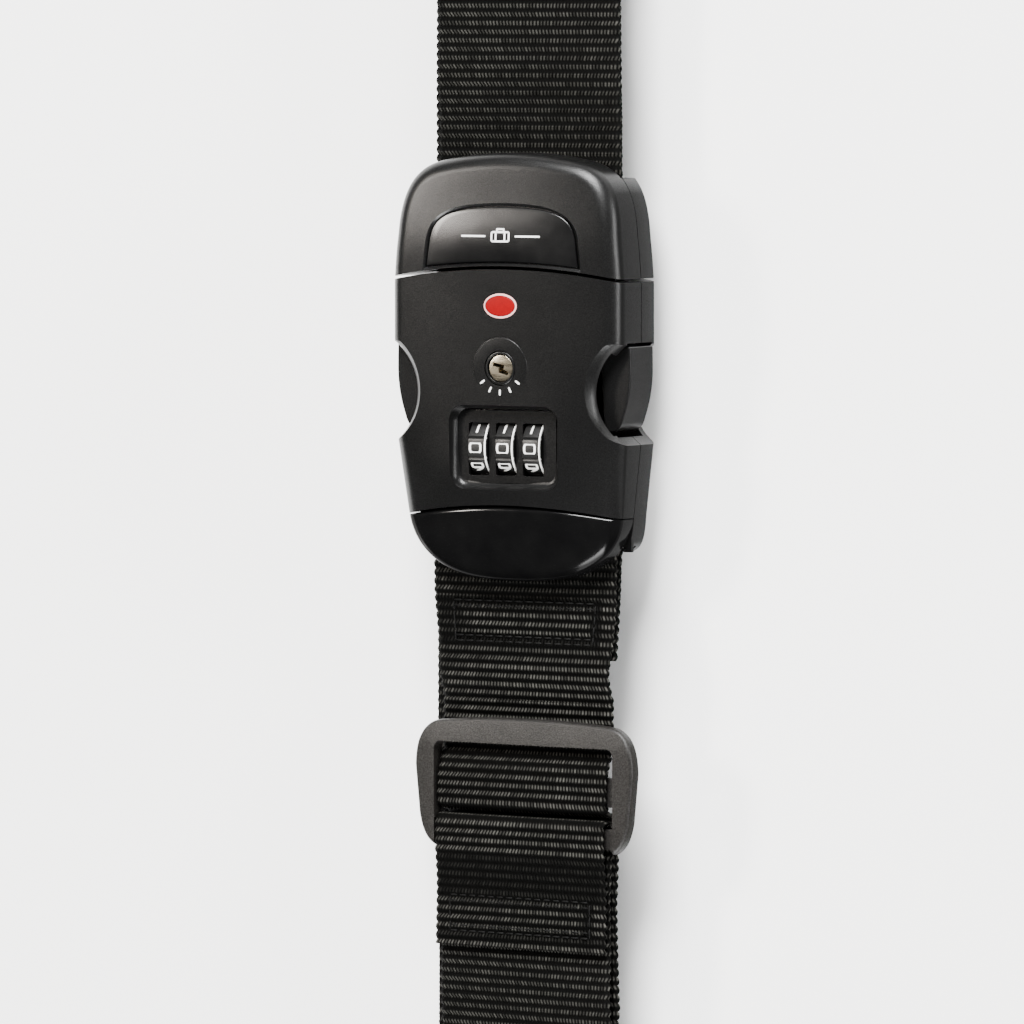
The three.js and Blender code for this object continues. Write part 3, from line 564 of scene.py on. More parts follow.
def block(x0, x1, y0, y1, z0, z1):
    return prism("block", np.array([(x0, y0), (x1, y0), (x1, y1), (x0, y1)], float), z0, z1)


def pair(x, half, *rest):
    """Two equal blocks, x to the left and to the right of the centre line."""
    return [block(side * x - half, side * x + half, *rest) for side in (-1, 1)]


def bezier(points, count):
    """count points after the first along a Bezier curve with any number of control points."""
    out = []
    for i in range(1, count + 1):
        t = i / count
        level = [np.asarray(p, float) for p in points]
        while len(level) > 1:
            level = [a + (b - a) * t for a, b in zip(level, level[1:])]
        out.append(level[0])
    return out


def chain(points, *curves):
    """Points, then curves (count, control points after the place reached so far)."""
    points = [np.array(p, float) for p in points]
    at = points[-1]
    for count, *controls in curves:
        points += bezier([at, *controls], count)
        at = controls[-1]
    return points


def mirrored(right):
    right = np.array(right, float)
    left = right[::-1][np.abs(right[::-1][:, 0]) > 1e-6] * (-1, 1)
    return np.vstack([right, left])


def rounded_rectangle(half_x, y0, y1, radius, steps=8, x=0.0):
    points = []
    corners = [(half_x - radius, y0 + radius), (half_x - radius, y1 - radius),
               (radius - half_x, y1 - radius), (radius - half_x, y0 + radius)]
    for k, (cx, cy) in enumerate(corners):
        for i in range(steps + 1):
            angle = (k - 1 + i / steps) * math.pi / 2
            points.append((x + cx + radius * math.cos(angle), cy + radius * math.sin(angle)))
    return np.array(points)


# ---------------------------------------------------------------- outlines shared with the CAD
def upper_curves(detail):
    """The right half of the buckle from its widest place to its top."""
    return (
        (3, (HALF_WIDTH, 54)),
        (detail // 3, (HALF_WIDTH - 0.3, 60), (HALF_WIDTH - 1, 66)),
        (detail, (29.6, 77), (26, 82), (18, 83.6)),
        (detail // 2, (9, TOP_Y), (0, TOP_Y)),
    )


def buckle_outline(detail=18):
    return mirrored(chain(
        [(0, BOTTOM_Y)],
        (detail // 2, (8, BOTTOM_Y), (13, BOTTOM_Y + 1)),
        (detail, (20, BOTTOM_Y + 2.2), (28.4, -10), (29.2, -1)),
        (detail // 3, (30.2, 8), (HALF_WIDTH, 17)),
        *upper_curves(detail),
    ))


def rear_outline(detail=18):
    return mirrored(chain(
        [(0, BOTTOM_Y), (20, BOTTOM_Y)],
        (detail // 2, (24.4, BOTTOM_Y), (24.6, -10.2), (26.0, -9.5)),
        (detail, (28.6, -8.6), (28.9, -4.6), (LUG_HALF, -1)),
        (detail // 3, (30.2, 8), (HALF_WIDTH, 17)),
        *upper_curves(detail),
    ))


def arch_at(x, apex, rise):
    return apex - rise * (x / HALF_WIDTH) ** 2


def zone(low, high):
    """A tall block across the buckle between two arches, each (apex, rise)."""
    xs = np.linspace(-WIDE, WIDE, 48)
    there, back = [(x, arch_at(x, *low)) for x in xs], [(x, arch_at(x, *high)) for x in xs[::-1]]
    return extrude(there + back, 0, TALL)


def label_outline(grow, detail=14):
    low = SEAM_APEX + SEAM_GAP + 1 - grow
    xs = np.linspace(0, 20.7 + grow, detail)[1:]
    return mirrored(chain(
        [(0, low)] + [(x, arch_at(x, low, SEAM_RISE)) for x in xs],
        (3, (19.9 + grow, 64.2)),
        (detail, (19.2 + grow, 69.5 + grow * 0.5), (16, 71 + grow), (10, 72 + grow)),
        (detail // 2, (5, 72.6 + grow), (0, 72.6 + grow)),
    ))


def slide_outline(detail=14):
    half, low, high = SLIDE_HALF, SLIDE_BOTTOM_Y, SLIDE_TOP_Y
    return mirrored(chain(
        [(0, low), (half - 7, low)],
        (detail, (half - 2.4, low + 1), (half - 1.2, low + 8)),
        (4, (half, high - 12)),
        (detail, (half - 0.2, high - 2), (half - 7, high - 1)),
        (detail, (half / 2, high), (0, high)),
    ))


# ---------------------------------------------------------------- buckle


def front_body(name):
    return dome(rounded_plate(name, buckle_outline(), PART_Z + GAP / 2, CROWN_Z, top=FRONT_ROUND, steps=10,
                              top_rings=(0.94, 0.87, 0.79, 0.7, 0.6, 0.5, 0.4, 0.3, 0.2, 0.1)))


def rear_body(name):
    return rounded_plate(name, rear_outline(), BACK_Z, PART_Z - GAP / 2, bottom=BACK_ROUND, steps=5)


def cavity(outline):
    room = block(-CAVITY_HALF, CAVITY_HALF, CAVITY_LOW_Y, SEAM_APEX + 1, FLOOR_Z, CEILING_Z)
    boolean(room, prism("walls", inset(outline, SIDE_WALL), 0, TALL), "INTERSECT")
    return dome(refine(room, 6))


def scoops():
    """The finger scoops, which flare where they meet the domed front, and the windows behind them."""
    flare = [(0, 0), (24.6, 0), (25.8, 0.12), (27.0, 0.55), (28.0, 1.25), (29.0, 2.3), (TALL, 14)]
    windows = pair(33, 6.8, WINDOW_LOW_Y, WINDOW_HIGH_Y, FLOOR_Z, ARM_FRONT_Z + 0.6)
    cutters = []
    for side, window in zip((-1, 1), windows):
        rings = [circle(SCOOP_RADIUS + grow, side * SCOOP_X, SCOOP_Y, 128) for _, grow in flare]
        cutters += [stacked("scoop", rings, [z for z, _ in flare]), window]
    return cutters


def dial_recess():
    """A shallow dish round the dials: a fillet from its floor up to a rounded rim."""
    growth = (0.0, 0.0, 0.5, 1.0, 1.5, 1.9, 2.15, 2.4, 3.0)
    heights = [20] + [FRAME_TOP_Z + rise for rise in (0, 0.08, 0.35, 0.85, 1.6, 2.4)] + [CROWN_Z + 0.05, TALL]
    rings = [rounded_rectangle(12.6 + g, 7.1 - g, 23.5 + 0.75 * g, 1.8 + g, x=0.6) for g in growth]
    return stacked("recess", rings, heights)


def tilted_disc(radius, y):
    """A thin round plate that stands proud at its top and sinks into the front at its foot."""
    rings, rise = [], []
    for i in range(5):
        angle = i / 4 * math.pi / 2
        rings.append(circle(radius - 0.25 * (1 - math.cos(angle)), 0, y, 96))
        rise.append(CROWN_Z - 0.27 + 0.25 * math.sin(angle))
    disc = stacked("disc", [rings[0]] + rings, [CROWN_Z - 1.2] + rise)
    for v in disc.data.vertices:
        share = ((v.co.y - ORIGIN.y) / MM - y + radius) / (2 * radius)
        if v.co.z > (CROWN_Z - 0.5) * MM:
            v.co.z += (0.42 * share - 0.12) * MM
    return disc


def screw_post(target, radius, top, x, y):
    boolean(target, cylinder(radius, PART_Z + GAP / 2, top, x, y, 24), "UNION")
    boolean(target, cylinder(PILOT_RADIUS, 0, 22, x, y, 20))


def screw_hole(target, x, y):
    shank = cylinder(SHANK_RADIUS, 0, TALL, x, y, 20)
    boolean(target, [shank, cylinder(HEAD_RADIUS, 0, BACK_Z + 1.6, x, y, 32)])


def make_front_shell(look):
    shell = front_body("front_shell_detail")
    boolean(shell, cavity(buckle_outline()))
    boolean(shell, zone((CAP_APEX + GAP, CAP_RISE), (SEAM_APEX, SEAM_RISE)), "INTERSECT")
    boolean(shell, scoops())
    boolean(shell, dial_recess())
    boolean(shell, tilted_disc(7.4, KEY_Y), "UNION")
    boolean(shell, cylinder(4.2, 20, TALL, 0, KEY_Y, 48))
    boolean(shell, prism("badge_hole", ellipse(4.6, 3.1, 0, BADGE_Y), CROWN_Z - 1.2, TALL))
    for x, y in HOUSING_SCREWS:
        screw_post(shell, POST_RADIUS, CEILING_Z + 1 - float(front_drop(x, y)), x, y)
    soften(shell, 0.28, 3)
    return finish_piece(shell, look, "housing", "matte_black", "front_shell")


def dress(obj, look):
    obj.data.materials.clear()
    obj.data.materials.append(look)


def finish_piece(obj, look, body, slot, *nodes):
    dress(obj, look)
    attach(obj, body)
    if nodes:
        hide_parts(*nodes)
    return obj


def rolled_zone(apex, rise, radius):
    """Everything below an arch, with the arch's front edge rolled over by a radius."""
    xs = np.linspace(WIDE, -WIDE, 49)
    rings, heights = [], []
    for step in range(-1, 8):
        angle = max(step, 0) / 6 * math.pi / 2
        grow = radius * (1 - math.cos(min(angle, math.pi / 2)))
        rings.append(np.array([(-WIDE, -60), (WIDE, -60)] + [(x, arch_at(x, apex - grow, rise)) for x in xs]))
        edge = CROWN_Z + 0.02 - radius * (1 - math.sin(angle))
        heights.append(0 if step < 0 else TALL if step > 6 else edge)
    return dome(refine(stacked("rolled_zone", rings, heights), 5))


def make_lower_cap(look):
    cap = front_body("lower_cap_detail")
    boolean(cap, cavity(buckle_outline()))
    boolean(cap, rolled_zone(CAP_APEX, CAP_RISE, 1.7), "INTERSECT")
    soften(cap, 0.3, 3)
    return finish_piece(cap, look, "housing", "gloss_black", "lower_cap")


def make_rear_shell(look):
    shell = rear_body("rear_shell_detail")
    boolean(shell, cavity(rear_outline()))
    boolean(shell, zone((LUG_LOW_Y, 0), (SEAM_APEX, SEAM_RISE)), "INTERSECT")
    boolean(shell, [block(-26, 26, -20, -4, FLOOR_Z, TALL), block(-27.6, 27.6, -9, -5, 12.8, TALL)])
    boolean(shell, pair(27.3, 1.1, LUG_LOW_Y, -2, 15.6, 16.7), "UNION")
    boolean(shell, scoops())
    for x, y in HOUSING_SCREWS:
        boolean(shell, cylinder(POST_RADIUS, FLOOR_Z - 0.5, PART_Z - GAP / 2, x, y, 24), "UNION")
        screw_hole(shell, x, y)
    boolean(shell, cylinder(2.1, 0, TALL, 14, 3.5, 32))
    soften(shell, 0.22, 2)
    return finish_piece(shell, look, "housing", "matte_black", "rear_shell")


def label_bulge(x, y):
    """The label is a shallow pillow."""
    return 0.5 * max(0, 1 - (x / 21) ** 2) * max(0, 1 - ((y - 65) / 8) ** 2)


ARM_POCKETS = 22.7, 3, 40, 61.8


def make_plug(look, gloss):
    cover = front_body("plug_cover_detail")
    boolean(cover, zone((SEAM_APEX + SEAM_GAP, SEAM_RISE), (120, 0)), "INTERSECT")
    room = dome(refine(prism("room", inset(buckle_outline(), 2.8), 0, CEILING_Z - 0.6), 5))
    boolean(room, zone((SEAM_APEX + 3, SEAM_RISE), (100, 0)), "INTERSECT")
    boolean(cover, room)
    boolean(cover, block(-26, 26, 70, FAR, 0, PART_Z + 0.6))
    recess = stacked("recess", [label_outline(grow) for grow in (0.25, 0.3, 0.9, 1.2)],
                     [CROWN_Z - 1, CROWN_Z - 0.55, CROWN_Z - 0.02, CROWN_Z + 3])
    boolean(cover, dome(refine(recess, 4)))
    for x, y in PLUG_SCREWS:
        screw_post(cover, 2.5, CEILING_Z, x, y)
    boolean(cover, pair(*ARM_POCKETS, 0, 22))
    soften(cover, 0.28, 3)
    finish_piece(cover, look, "plug", "matte_black", "plug_cover")

    rings = (0.9, 0.8, 0.7, 0.6, 0.5, 0.4, 0.3, 0.2, 0.1)
    label = rounded_plate("label_plate_detail", label_outline(0), CROWN_Z - 0.9, CROWN_Z - 0.3,
                          top=0.25, steps=4, top_rings=rings)
    for v in label.data.vertices:
        point = (v.co - ORIGIN) / MM
        if point.z > CROWN_Z - 0.6:
            v.co.z += label_bulge(point.x, point.y) * MM
    dome(label)
    shade(label, 40)
    finish_piece(label, gloss, "plug", "gloss_black", "label_plate")

    base = rear_body("plug_base_detail")
    boolean(base, zone((SEAM_APEX + SEAM_GAP, SEAM_RISE), (120, 0)), "INTERSECT")
    boolean(base, [block(-26, 26, 62.6, FAR, 10.6, TALL), block(-27.1, 27.1, 64.7, 69.1, 12.4, TALL)])
    boolean(base, pair(26.5, 5, 79.4, FAR, 0, TALL) + pair(*ARM_POCKETS, FLOOR_Z, TALL))
    boolean(base, block(-8.5, 8.5, 46, 60, 12, 14.6), "UNION")
    for x, y in PLUG_SCREWS:
        screw_hole(base, x, y)
    soften(base, 0.22, 2)
    finish_piece(base, look, "plug", "matte_black", "plug_base")


def arm_outline():
    return np.array(chain(
        [(21.5, 59.6), (21.5, 44.0), (23.6, 38.0), (24.6, 22.0)],
        (6, (24.8, 19.2), (26.6, 19.2)),
        (6, (29, 19.2), (29.8, 22.6)),
        (10, (ARM_REACH, 28), (ARM_REACH, 34)),
        (5, (ARM_REACH, 37), (ARM_REACH - 0.1, 39.6)),
    ) + [(27.4, 39.6), (24, 43), (24, 59.6)])


def make_arms(look):
    for side, name in ((-1, "left"), (1, "right")):
        points = arm_outline() * (side, 1)
        arm = extrude(points[::side], 12, ARM_FRONT_Z, f"release_arm_{name}_detail")
        low, high = side * 26 - 12, side * 26 + 12
        boolean(arm, [block(low, high, 44, 70, 19, TALL), block(low, high, 53, 70, 16.6, TALL)])
        soften(arm, 0.7, 4, 40)
        finish_piece(arm, look, f"arm_{name}", "matte_black", f"release_arm_{name}")


# ---------------------------------------------------------------- lock
def around_x(name, profile, x, y, z, count, radius_at=None):
    """A ring round an axis along X. profile is a closed list of (radius, offset along X)."""
    vertices = []
    for i in range(count):
        angle = i / count * TAU
        for r, h in profile:
            reach = r + (radius_at(angle, r) if radius_at else 0)
            vertices.append((x + h, y + reach * math.sin(angle), z + reach * math.cos(angle)))
    return mesh_object(name, vertices, tube_faces(count, len(profile), closed=True))


FIGURES = {
    "0": [[(0, .28), (.06, .1), (.2, 0), (.8, 0), (.94, .1), (1, .28), (1, .72), (.94, .9), (.8, 1), (.2, 1),
           (.06, .9), (0, .72), (0, .28)]],
    "1": [[(.48, 0), (.52, 1)]],
    "2": [[(0, .88), (.1, 1), (.9, 1), (1, .88), (1, .6), (.88, .5), (.12, .48), (0, .36), (0, 0), (1, 0)]],
    "3": [[(0, 1), (.9, 1), (1, .88), (1, .62), (.88, .5), (.3, .5)],
          [(.88, .5), (1, .38), (1, .12), (.9, 0), (0, 0)]],
    "4": [[(.74, 0), (.74, 1), (0, .32), (1, .32)]],
    "5": [[(1, 1), (0, 1), (0, .56), (.88, .56), (1, .44), (1, .12), (.9, 0), (0, 0)]],
    "6": [[(.7, 1), (.1, .6), (0, .45), (0, .12), (.1, 0), (.9, 0), (1, .12), (1, .45), (.9, .56),
           (.1, .56)]],
    "7": [[(0, 1), (1, 1), (.36, 0)]],
    "8": [[(0, .12), (.1, 0), (.9, 0), (1, .12), (1, .88), (.9, 1), (.1, 1), (0, .88), (0, .12)],
          [(0, .5), (1, .5)]],
    "9": [[(.3, 0), (.9, .4), (1, .55), (1, .88), (.9, 1), (.1, 1), (0, .88), (0, .55), (.1, .44),
           (.9, .44)]],
}


def strokes(lines, width, longest=0.35):
    """Flat strips along lines of (x, y) points, with a round joint at every point."""
    points, faces = [], []

    for line in lines:
        for a, b in zip(line, line[1:]):
            length = math.dist(a, b)
            pieces = max(1, math.ceil(length / longest))
            side = np.array([a[1] - b[1], b[0] - a[0]]) / length * width / 2
            base = len(points)
            for i in range(pieces + 1):
                centre = np.array(a) + (np.array(b) - np.array(a)) * i / pieces
                points.extend((tuple(centre + side), tuple(centre - side)))
            faces.extend((k, k + 1, k + 3, k + 2) for k in range(base, base + 2 * pieces, 2))
        for x, y in line:
            faces.append(tuple(range(len(points), len(points) + 10)))
            points.extend(circle(width / 2, x, y, 10))
    return points, faces


def raised(name, pieces, low, high, to_point, look):
    """Turns flat strips into a thin solid layer. to_point(x, y, height) gives a place on the surface."""
    vertices, faces = [], []
    points, flats = pieces
    for flat in flats:
        faces += cap_faces(2, len(flat), len(vertices)) + tube_faces(2, len(flat), len(vertices))
        vertices += [to_point(*points[i], height) for height in (low, high) for i in flat]
    obj = mesh_object(name, vertices, faces, look)
    face_outwards(obj.data)
    return obj


def figure(character, x, angle, radius, width, height, look):
    """A figure wrapped round a dial."""
    lines = [[((px - 0.5) * width, (py - 0.5) * height) for px, py in line] for line in FIGURES[character]]

    def on_dial(px, py, lift):
        turn = angle + py / radius
        return x + px, DIAL_Y + (radius + lift) * math.sin(turn), DIAL_Z + (radius + lift) * math.cos(turn)

    return raised("figure", strokes(lines, 0.52), -0.3, 0.05, on_dial, look)


def join(name, objects):
    """One object from several, keeping their materials."""
    with bpy.context.temp_override(active_object=objects[0], selected_editable_objects=objects):
        bpy.ops.object.join()
    objects[0].name = name
    return objects[0]


def make_dials(look, white, rim_highlight_look):
    flats = 10

    def facet(angle, r):
        if r < DIAL_RADIUS - 0.8:
            return 0.0
        share = (angle * flats / TAU + 0.5) % 1 - 0.5
        groove = math.exp(-((abs(share) - 0.5) / 0.045) ** 2)
        flat = 1 / math.cos(share * TAU / flats) - 1
        return DIAL_RADIUS * min(flat, 0.05) * 0.5 - 0.45 * groove

    half = DIAL_WIDTH / 2
    for index, word in enumerate(("one", "two", "three")):
        x = (index - 1) * DIAL_PITCH
        wheel = DIAL_RADIUS - 0.15
        profile = [(DIAL_BORE, -half), (wheel - 0.35, -half), (wheel - 0.1, -half + 0.1),
                   (wheel, -half + 0.35), (wheel, half - 0.7), (wheel - 0.25, half - 0.6),
                   (wheel - 0.25, half), (DIAL_BORE, half)]
        dial = around_x(f"dial_{index + 1}_detail", profile, x, DIAL_Y, DIAL_Z, 240, facet)
        shade(dial, 35)
        finish_piece(dial, look, f"dial_{word}", "dial_black", f"dial_{index + 1}")
        # painted highlight: a thin white ring on the right edge of each dial stands in for the light caught by
        # its flange
        rim_profile = [(wheel - 0.6, half - 0.5), (wheel + 0.1, half - 0.46), (wheel + 0.16, half - 0.32),
                       (wheel + 0.1, half - 0.16), (wheel - 0.6, half - 0.12)]
        rim = around_x(f"dial_{index + 1}_rim", rim_profile, x, DIAL_Y, DIAL_Z, 120)
        shade(rim, 50)
        finish_piece(rim, rim_highlight_look, f"dial_{word}", "dial_black")
        figures = [figure(str(digit), x - 0.35, digit * TAU / flats, wheel, 2.85, 2.4, white)
                   for digit in range(flats)]
        joined = join(f"dial_{index + 1}_figures", figures)
        finish_piece(joined, white, f"dial_{word}", "dial_black")


def make_dial_frame(look):
    outline = rounded_rectangle(13.6, 6.6, 24.0, 1.8)
    plate = prism("dial_window_frame_detail", outline, FRAME_TOP_Z - 1.0, FRAME_TOP_Z)
    for i in (-1, 0, 1):
        x = i * DIAL_PITCH
        boolean(plate, prism("window", rounded_rectangle(2.8, DIAL_Y - 6.6, DIAL_Y + 6.0, 0.4, x=x), 0, TALL))
    soften(plate, 0.2, 2)
    finish_piece(plate, look, "housing", "matte_black", "dial_window_frame")


def make_key(nickel, look):
    core = rounded_plate("key_core_detail", circle(3.3, 0, KEY_Y), PART_Z, CROWN_Z - 0.35, top=0.3, steps=3)
    # a stepped keyway: two short arms joined by a slanted middle
    way = [(-2.0, 1.35), (0.9, 0.75), (0.75, -0.35), (2.1, -0.9),
           (1.9, -1.75), (-0.55, -1.15), (-0.45, 0.1), (-2.15, 0.55)]
    boolean(core, extrude([(x, y + KEY_Y) for x, y in way[::-1]], CROWN_Z - 6, TALL))
    soften(core, 0.09, 2)
    finish_piece(core, nickel, "key", "nickel", "key_core")
    outline = circle(4.1, 0, KEY_Y)
    barrel = rounded_plate("key_barrel_detail", outline, PART_Z, CROWN_Z + 0.02, top=0.3, steps=3)
    boolean(barrel, cylinder(3.42, 0, TALL, 0, KEY_Y))
    soften(barrel, 0.08, 2)
    finish_piece(barrel, look, "housing", "matte_black", "key_barrel")


def coil(name, radius, wire, turns, length, base, turn=None):
    """A helical spring from base upwards, or along another axis once turned."""
    steps, sides = turns * 24, 10
    t = np.arange(steps + 1) / steps
    angle = t * turns * TAU
    radial = np.stack([np.cos(angle), np.sin(angle), 0 * t], 1)
    along = np.stack([-radius * np.sin(angle), radius * np.cos(angle), 0 * t + length / (turns * TAU)], 1)
    side = np.cross(along / np.linalg.norm(along, axis=1)[:, None], radial)
    middle = radial * radius + np.stack([0 * t, 0 * t, t * length], 1)
    around = np.arange(sides) / sides * TAU
    points = (middle[:, None, :] + wire / 2 * (np.cos(around)[None, :, None] * radial[:, None, :]
                                               + np.sin(around)[None, :, None] * side[:, None, :])).reshape(-1, 3)
    if turn == "down_y":
        points = np.stack([points[:, 0], -points[:, 2], points[:, 1]], 1)
    faces = tube_faces(steps + 1, sides) + cap_faces(steps + 1, sides)
    obj = mesh_object(name, points + np.array(base), faces)
    shade(obj, 60)
    return obj


def make_springs(look):
    springs = (
        ("reset_spring", coil("reset_spring_detail", 1.5, 0.4, 4, 6, (14, 3.5, 13.8)), "reset",
         frame_point(3.5, 13.9, 14), frame_point(3.5, 19.6, 14)),
        ("lock_spring", coil("lock_spring_detail", 0.9, 0.4, 5, 6, (13, 25.8, 13.2), "down_y"), "blocker",
         frame_point(25.6, 13.2, 13), frame_point(20, 13.2, 13)),
    )
    for node, spring, body, moving, fixed in springs:
        dress(spring, look)
        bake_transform(spring)
        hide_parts(node)


def on_front(x, y, lift):
    """A place on the domed front, lift above its crown height."""
    z = CROWN_Z + lift
    return x, y, z - float(front_drop(x, y)) * (z - PART_Z) / (CROWN_Z - PART_Z)


def on_label(x, y, lift):
    return on_front(x, y, lift + label_bulge(x, y))


def make_marks(white):
    """A plain suitcase sign with a line each side on the label, and ticks round the key."""
    y = 65.6
    case = [(-2.1, -1.2), (2.1, -1.2), (2.35, -0.95), (2.35, 0.75), (2.1, 1.0), (-2.1, 1.0),
            (-2.35, 0.75), (-2.35, -0.95), (-2.1, -1.2)]
    handle = [(-0.9, 1.0), (-0.9, 1.7), (0.9, 1.7), (0.9, 1.0)]
    straps = [[(x, -1.2), (x, 1.0)] for x in (-1.2, 1.2)]
    lines = [case, handle, *straps, [(-10.5, 0), (-4.2, 0)], [(4.2, 0), (10.5, 0)]]
    sign = strokes([[(px, py + y) for px, py in line] for line in lines], 0.42)
    mark = raised("label_mark", sign, -0.5, -0.26, on_label, white)
    finish_piece(mark, white, "plug", "gloss_black")
    ticks = []
    for degrees in (-145, -117.5, -90, -62.5, -35):
        a = math.radians(degrees)
        ticks.append([(r * math.cos(a), KEY_Y + r * math.sin(a)) for r in (5.3, 6.3)])
    mark = raised("key_ticks", strokes(ticks, 0.4), -0.6, 0.14, on_front, white)
    finish_piece(mark, white, "housing", "matte_black")


def make_badge(red, pale):
    outline = ellipse(4.5, 3.0, 0, BADGE_Y)
    rim = rounded_plate("lock_badge_rim", outline, CROWN_Z - 0.9, CROWN_Z + 0.05, top=0.2, steps=3)
    boolean(rim, prism("middle", ellipse(4.1, 2.5, 0, BADGE_Y), CROWN_Z - 0.25, TALL))
    soften(rim, 0.05, 2)
    finish_piece(rim, pale, "housing", "red_insert", "lock_badge")
    outline = ellipse(4.05, 2.45, 0, BADGE_Y)
    face = rounded_plate("lock_badge_face", outline, CROWN_Z - 0.24, CROWN_Z + 0.12, top=0.34, steps=6)
    shade(face, 60)
    finish_piece(face, red, "housing", "red_insert")


# ---------------------------------------------------------------- slide adjuster
def make_slide(look):
    frame_piece = rounded_plate("slide_adjuster_detail", slide_outline(), SLIDE_BACK_Z, SLIDE_FRONT_Z,
                                top=0.9, bottom=0.6, steps=6)
    boolean(frame_piece, prism("window", rounded_rectangle(26.2, -75.8, SLIDE_TOP_Y - 6.2, 1.8), 0, TALL))
    boolean(frame_piece, [block(-26.2, 26.2, -90, -75, 17.8, TALL), block(-26.2, 26.2, -90, -80.6, 0, TALL)])
    boolean(frame_piece, soften(block(-26.8, 26.8, -70.6, -63.5, 15, 17), 0.6, 4), "UNION")
    soften(frame_piece, 0.35, 3)
    for v in frame_piece.data.vertices:
        point = (v.co - ORIGIN) / MM
        lean = 0.09 * max(0, point.y - SLIDE_TOP_Y + 6.5) * (point.z > SLIDE_FRONT_Z - 1.5)
        x, z = point.x, point.z - TWIST_Z - lean
        turned_x = x * math.cos(SLIDE_TWIST) - z * math.sin(SLIDE_TWIST)
        turned_z = x * math.sin(SLIDE_TWIST) + z * math.cos(SLIDE_TWIST)
        v.co = Vector(place([(turned_x + SLIDE_X, point.y, turned_z + TWIST_Z)])[0])
    frame_piece.data.update()
    finish_piece(frame_piece, look, "adjuster", "graphite_plastic", "slide_adjuster")


# ---------------------------------------------------------------- webbing
def twist_at(y):
    return SLIDE_TWIST * smooth(-18, -42, y) * (1 - smooth(-134, -153, y))


def layer_z(layer):
    return WEB_THICK / 2 + (layer - 1) * LAYER_PITCH


def arc(y, z, ry, rz, start, end, steps=14):
    angles = np.radians(np.linspace(start, end, steps + 1))
    return [(y + ry * math.cos(a), z + rz * math.sin(a)) for a in angles]


def layer_run(layer, start, end):
    z = layer_z(layer)
    humps = [(BAND_Y + y, z + lift) for y, lift in ((-9, 0), (-4, BAND_LIFT), (4, BAND_LIFT), (9, 0))]
    return [(start, z)] + (humps if start < end else humps[::-1]) + [(end, z)]


def along_path(points, step, soft):
    """Evenly spaced points along a line of (y, z) points, with its corners eased over soft millimetres."""
    points = np.array([p for i, p in enumerate(points) if i == 0 or math.dist(p, points[i - 1]) > 0.02])
    lengths = np.r_[0, np.cumsum(np.linalg.norm(np.diff(points, axis=0), axis=1))]
    count = max(8, round(lengths[-1] / step))
    at = np.linspace(0, lengths[-1], count + 1)
    line = np.stack([np.interp(at, lengths, points[:, k]) for k in (0, 1)], 1)
    reach = max(1, int(round(3 * soft / step)))
    kernel = np.exp(-0.5 * (np.arange(-reach, reach + 1) * step / soft) ** 2)
    kernel /= kernel.sum()
    first = 2 * line[0] - line[reach:0:-1]
    last = 2 * line[-1] - line[-2:-reach - 2:-1]
    padded = np.vstack([first, line, last])
    line = np.stack([np.convolve(padded[:, k], kernel, "valid") for k in (0, 1)], 1)
    lengths = np.r_[0, np.cumsum(np.linalg.norm(np.diff(line, axis=0), axis=1))]
    return line, lengths


def ribs(s):
    """Height of the webbing's ribs along it, 0 in the grooves and 1 on the crests."""
    return np.abs(np.sin(math.pi * s / RIB_PITCH)) ** 0.9


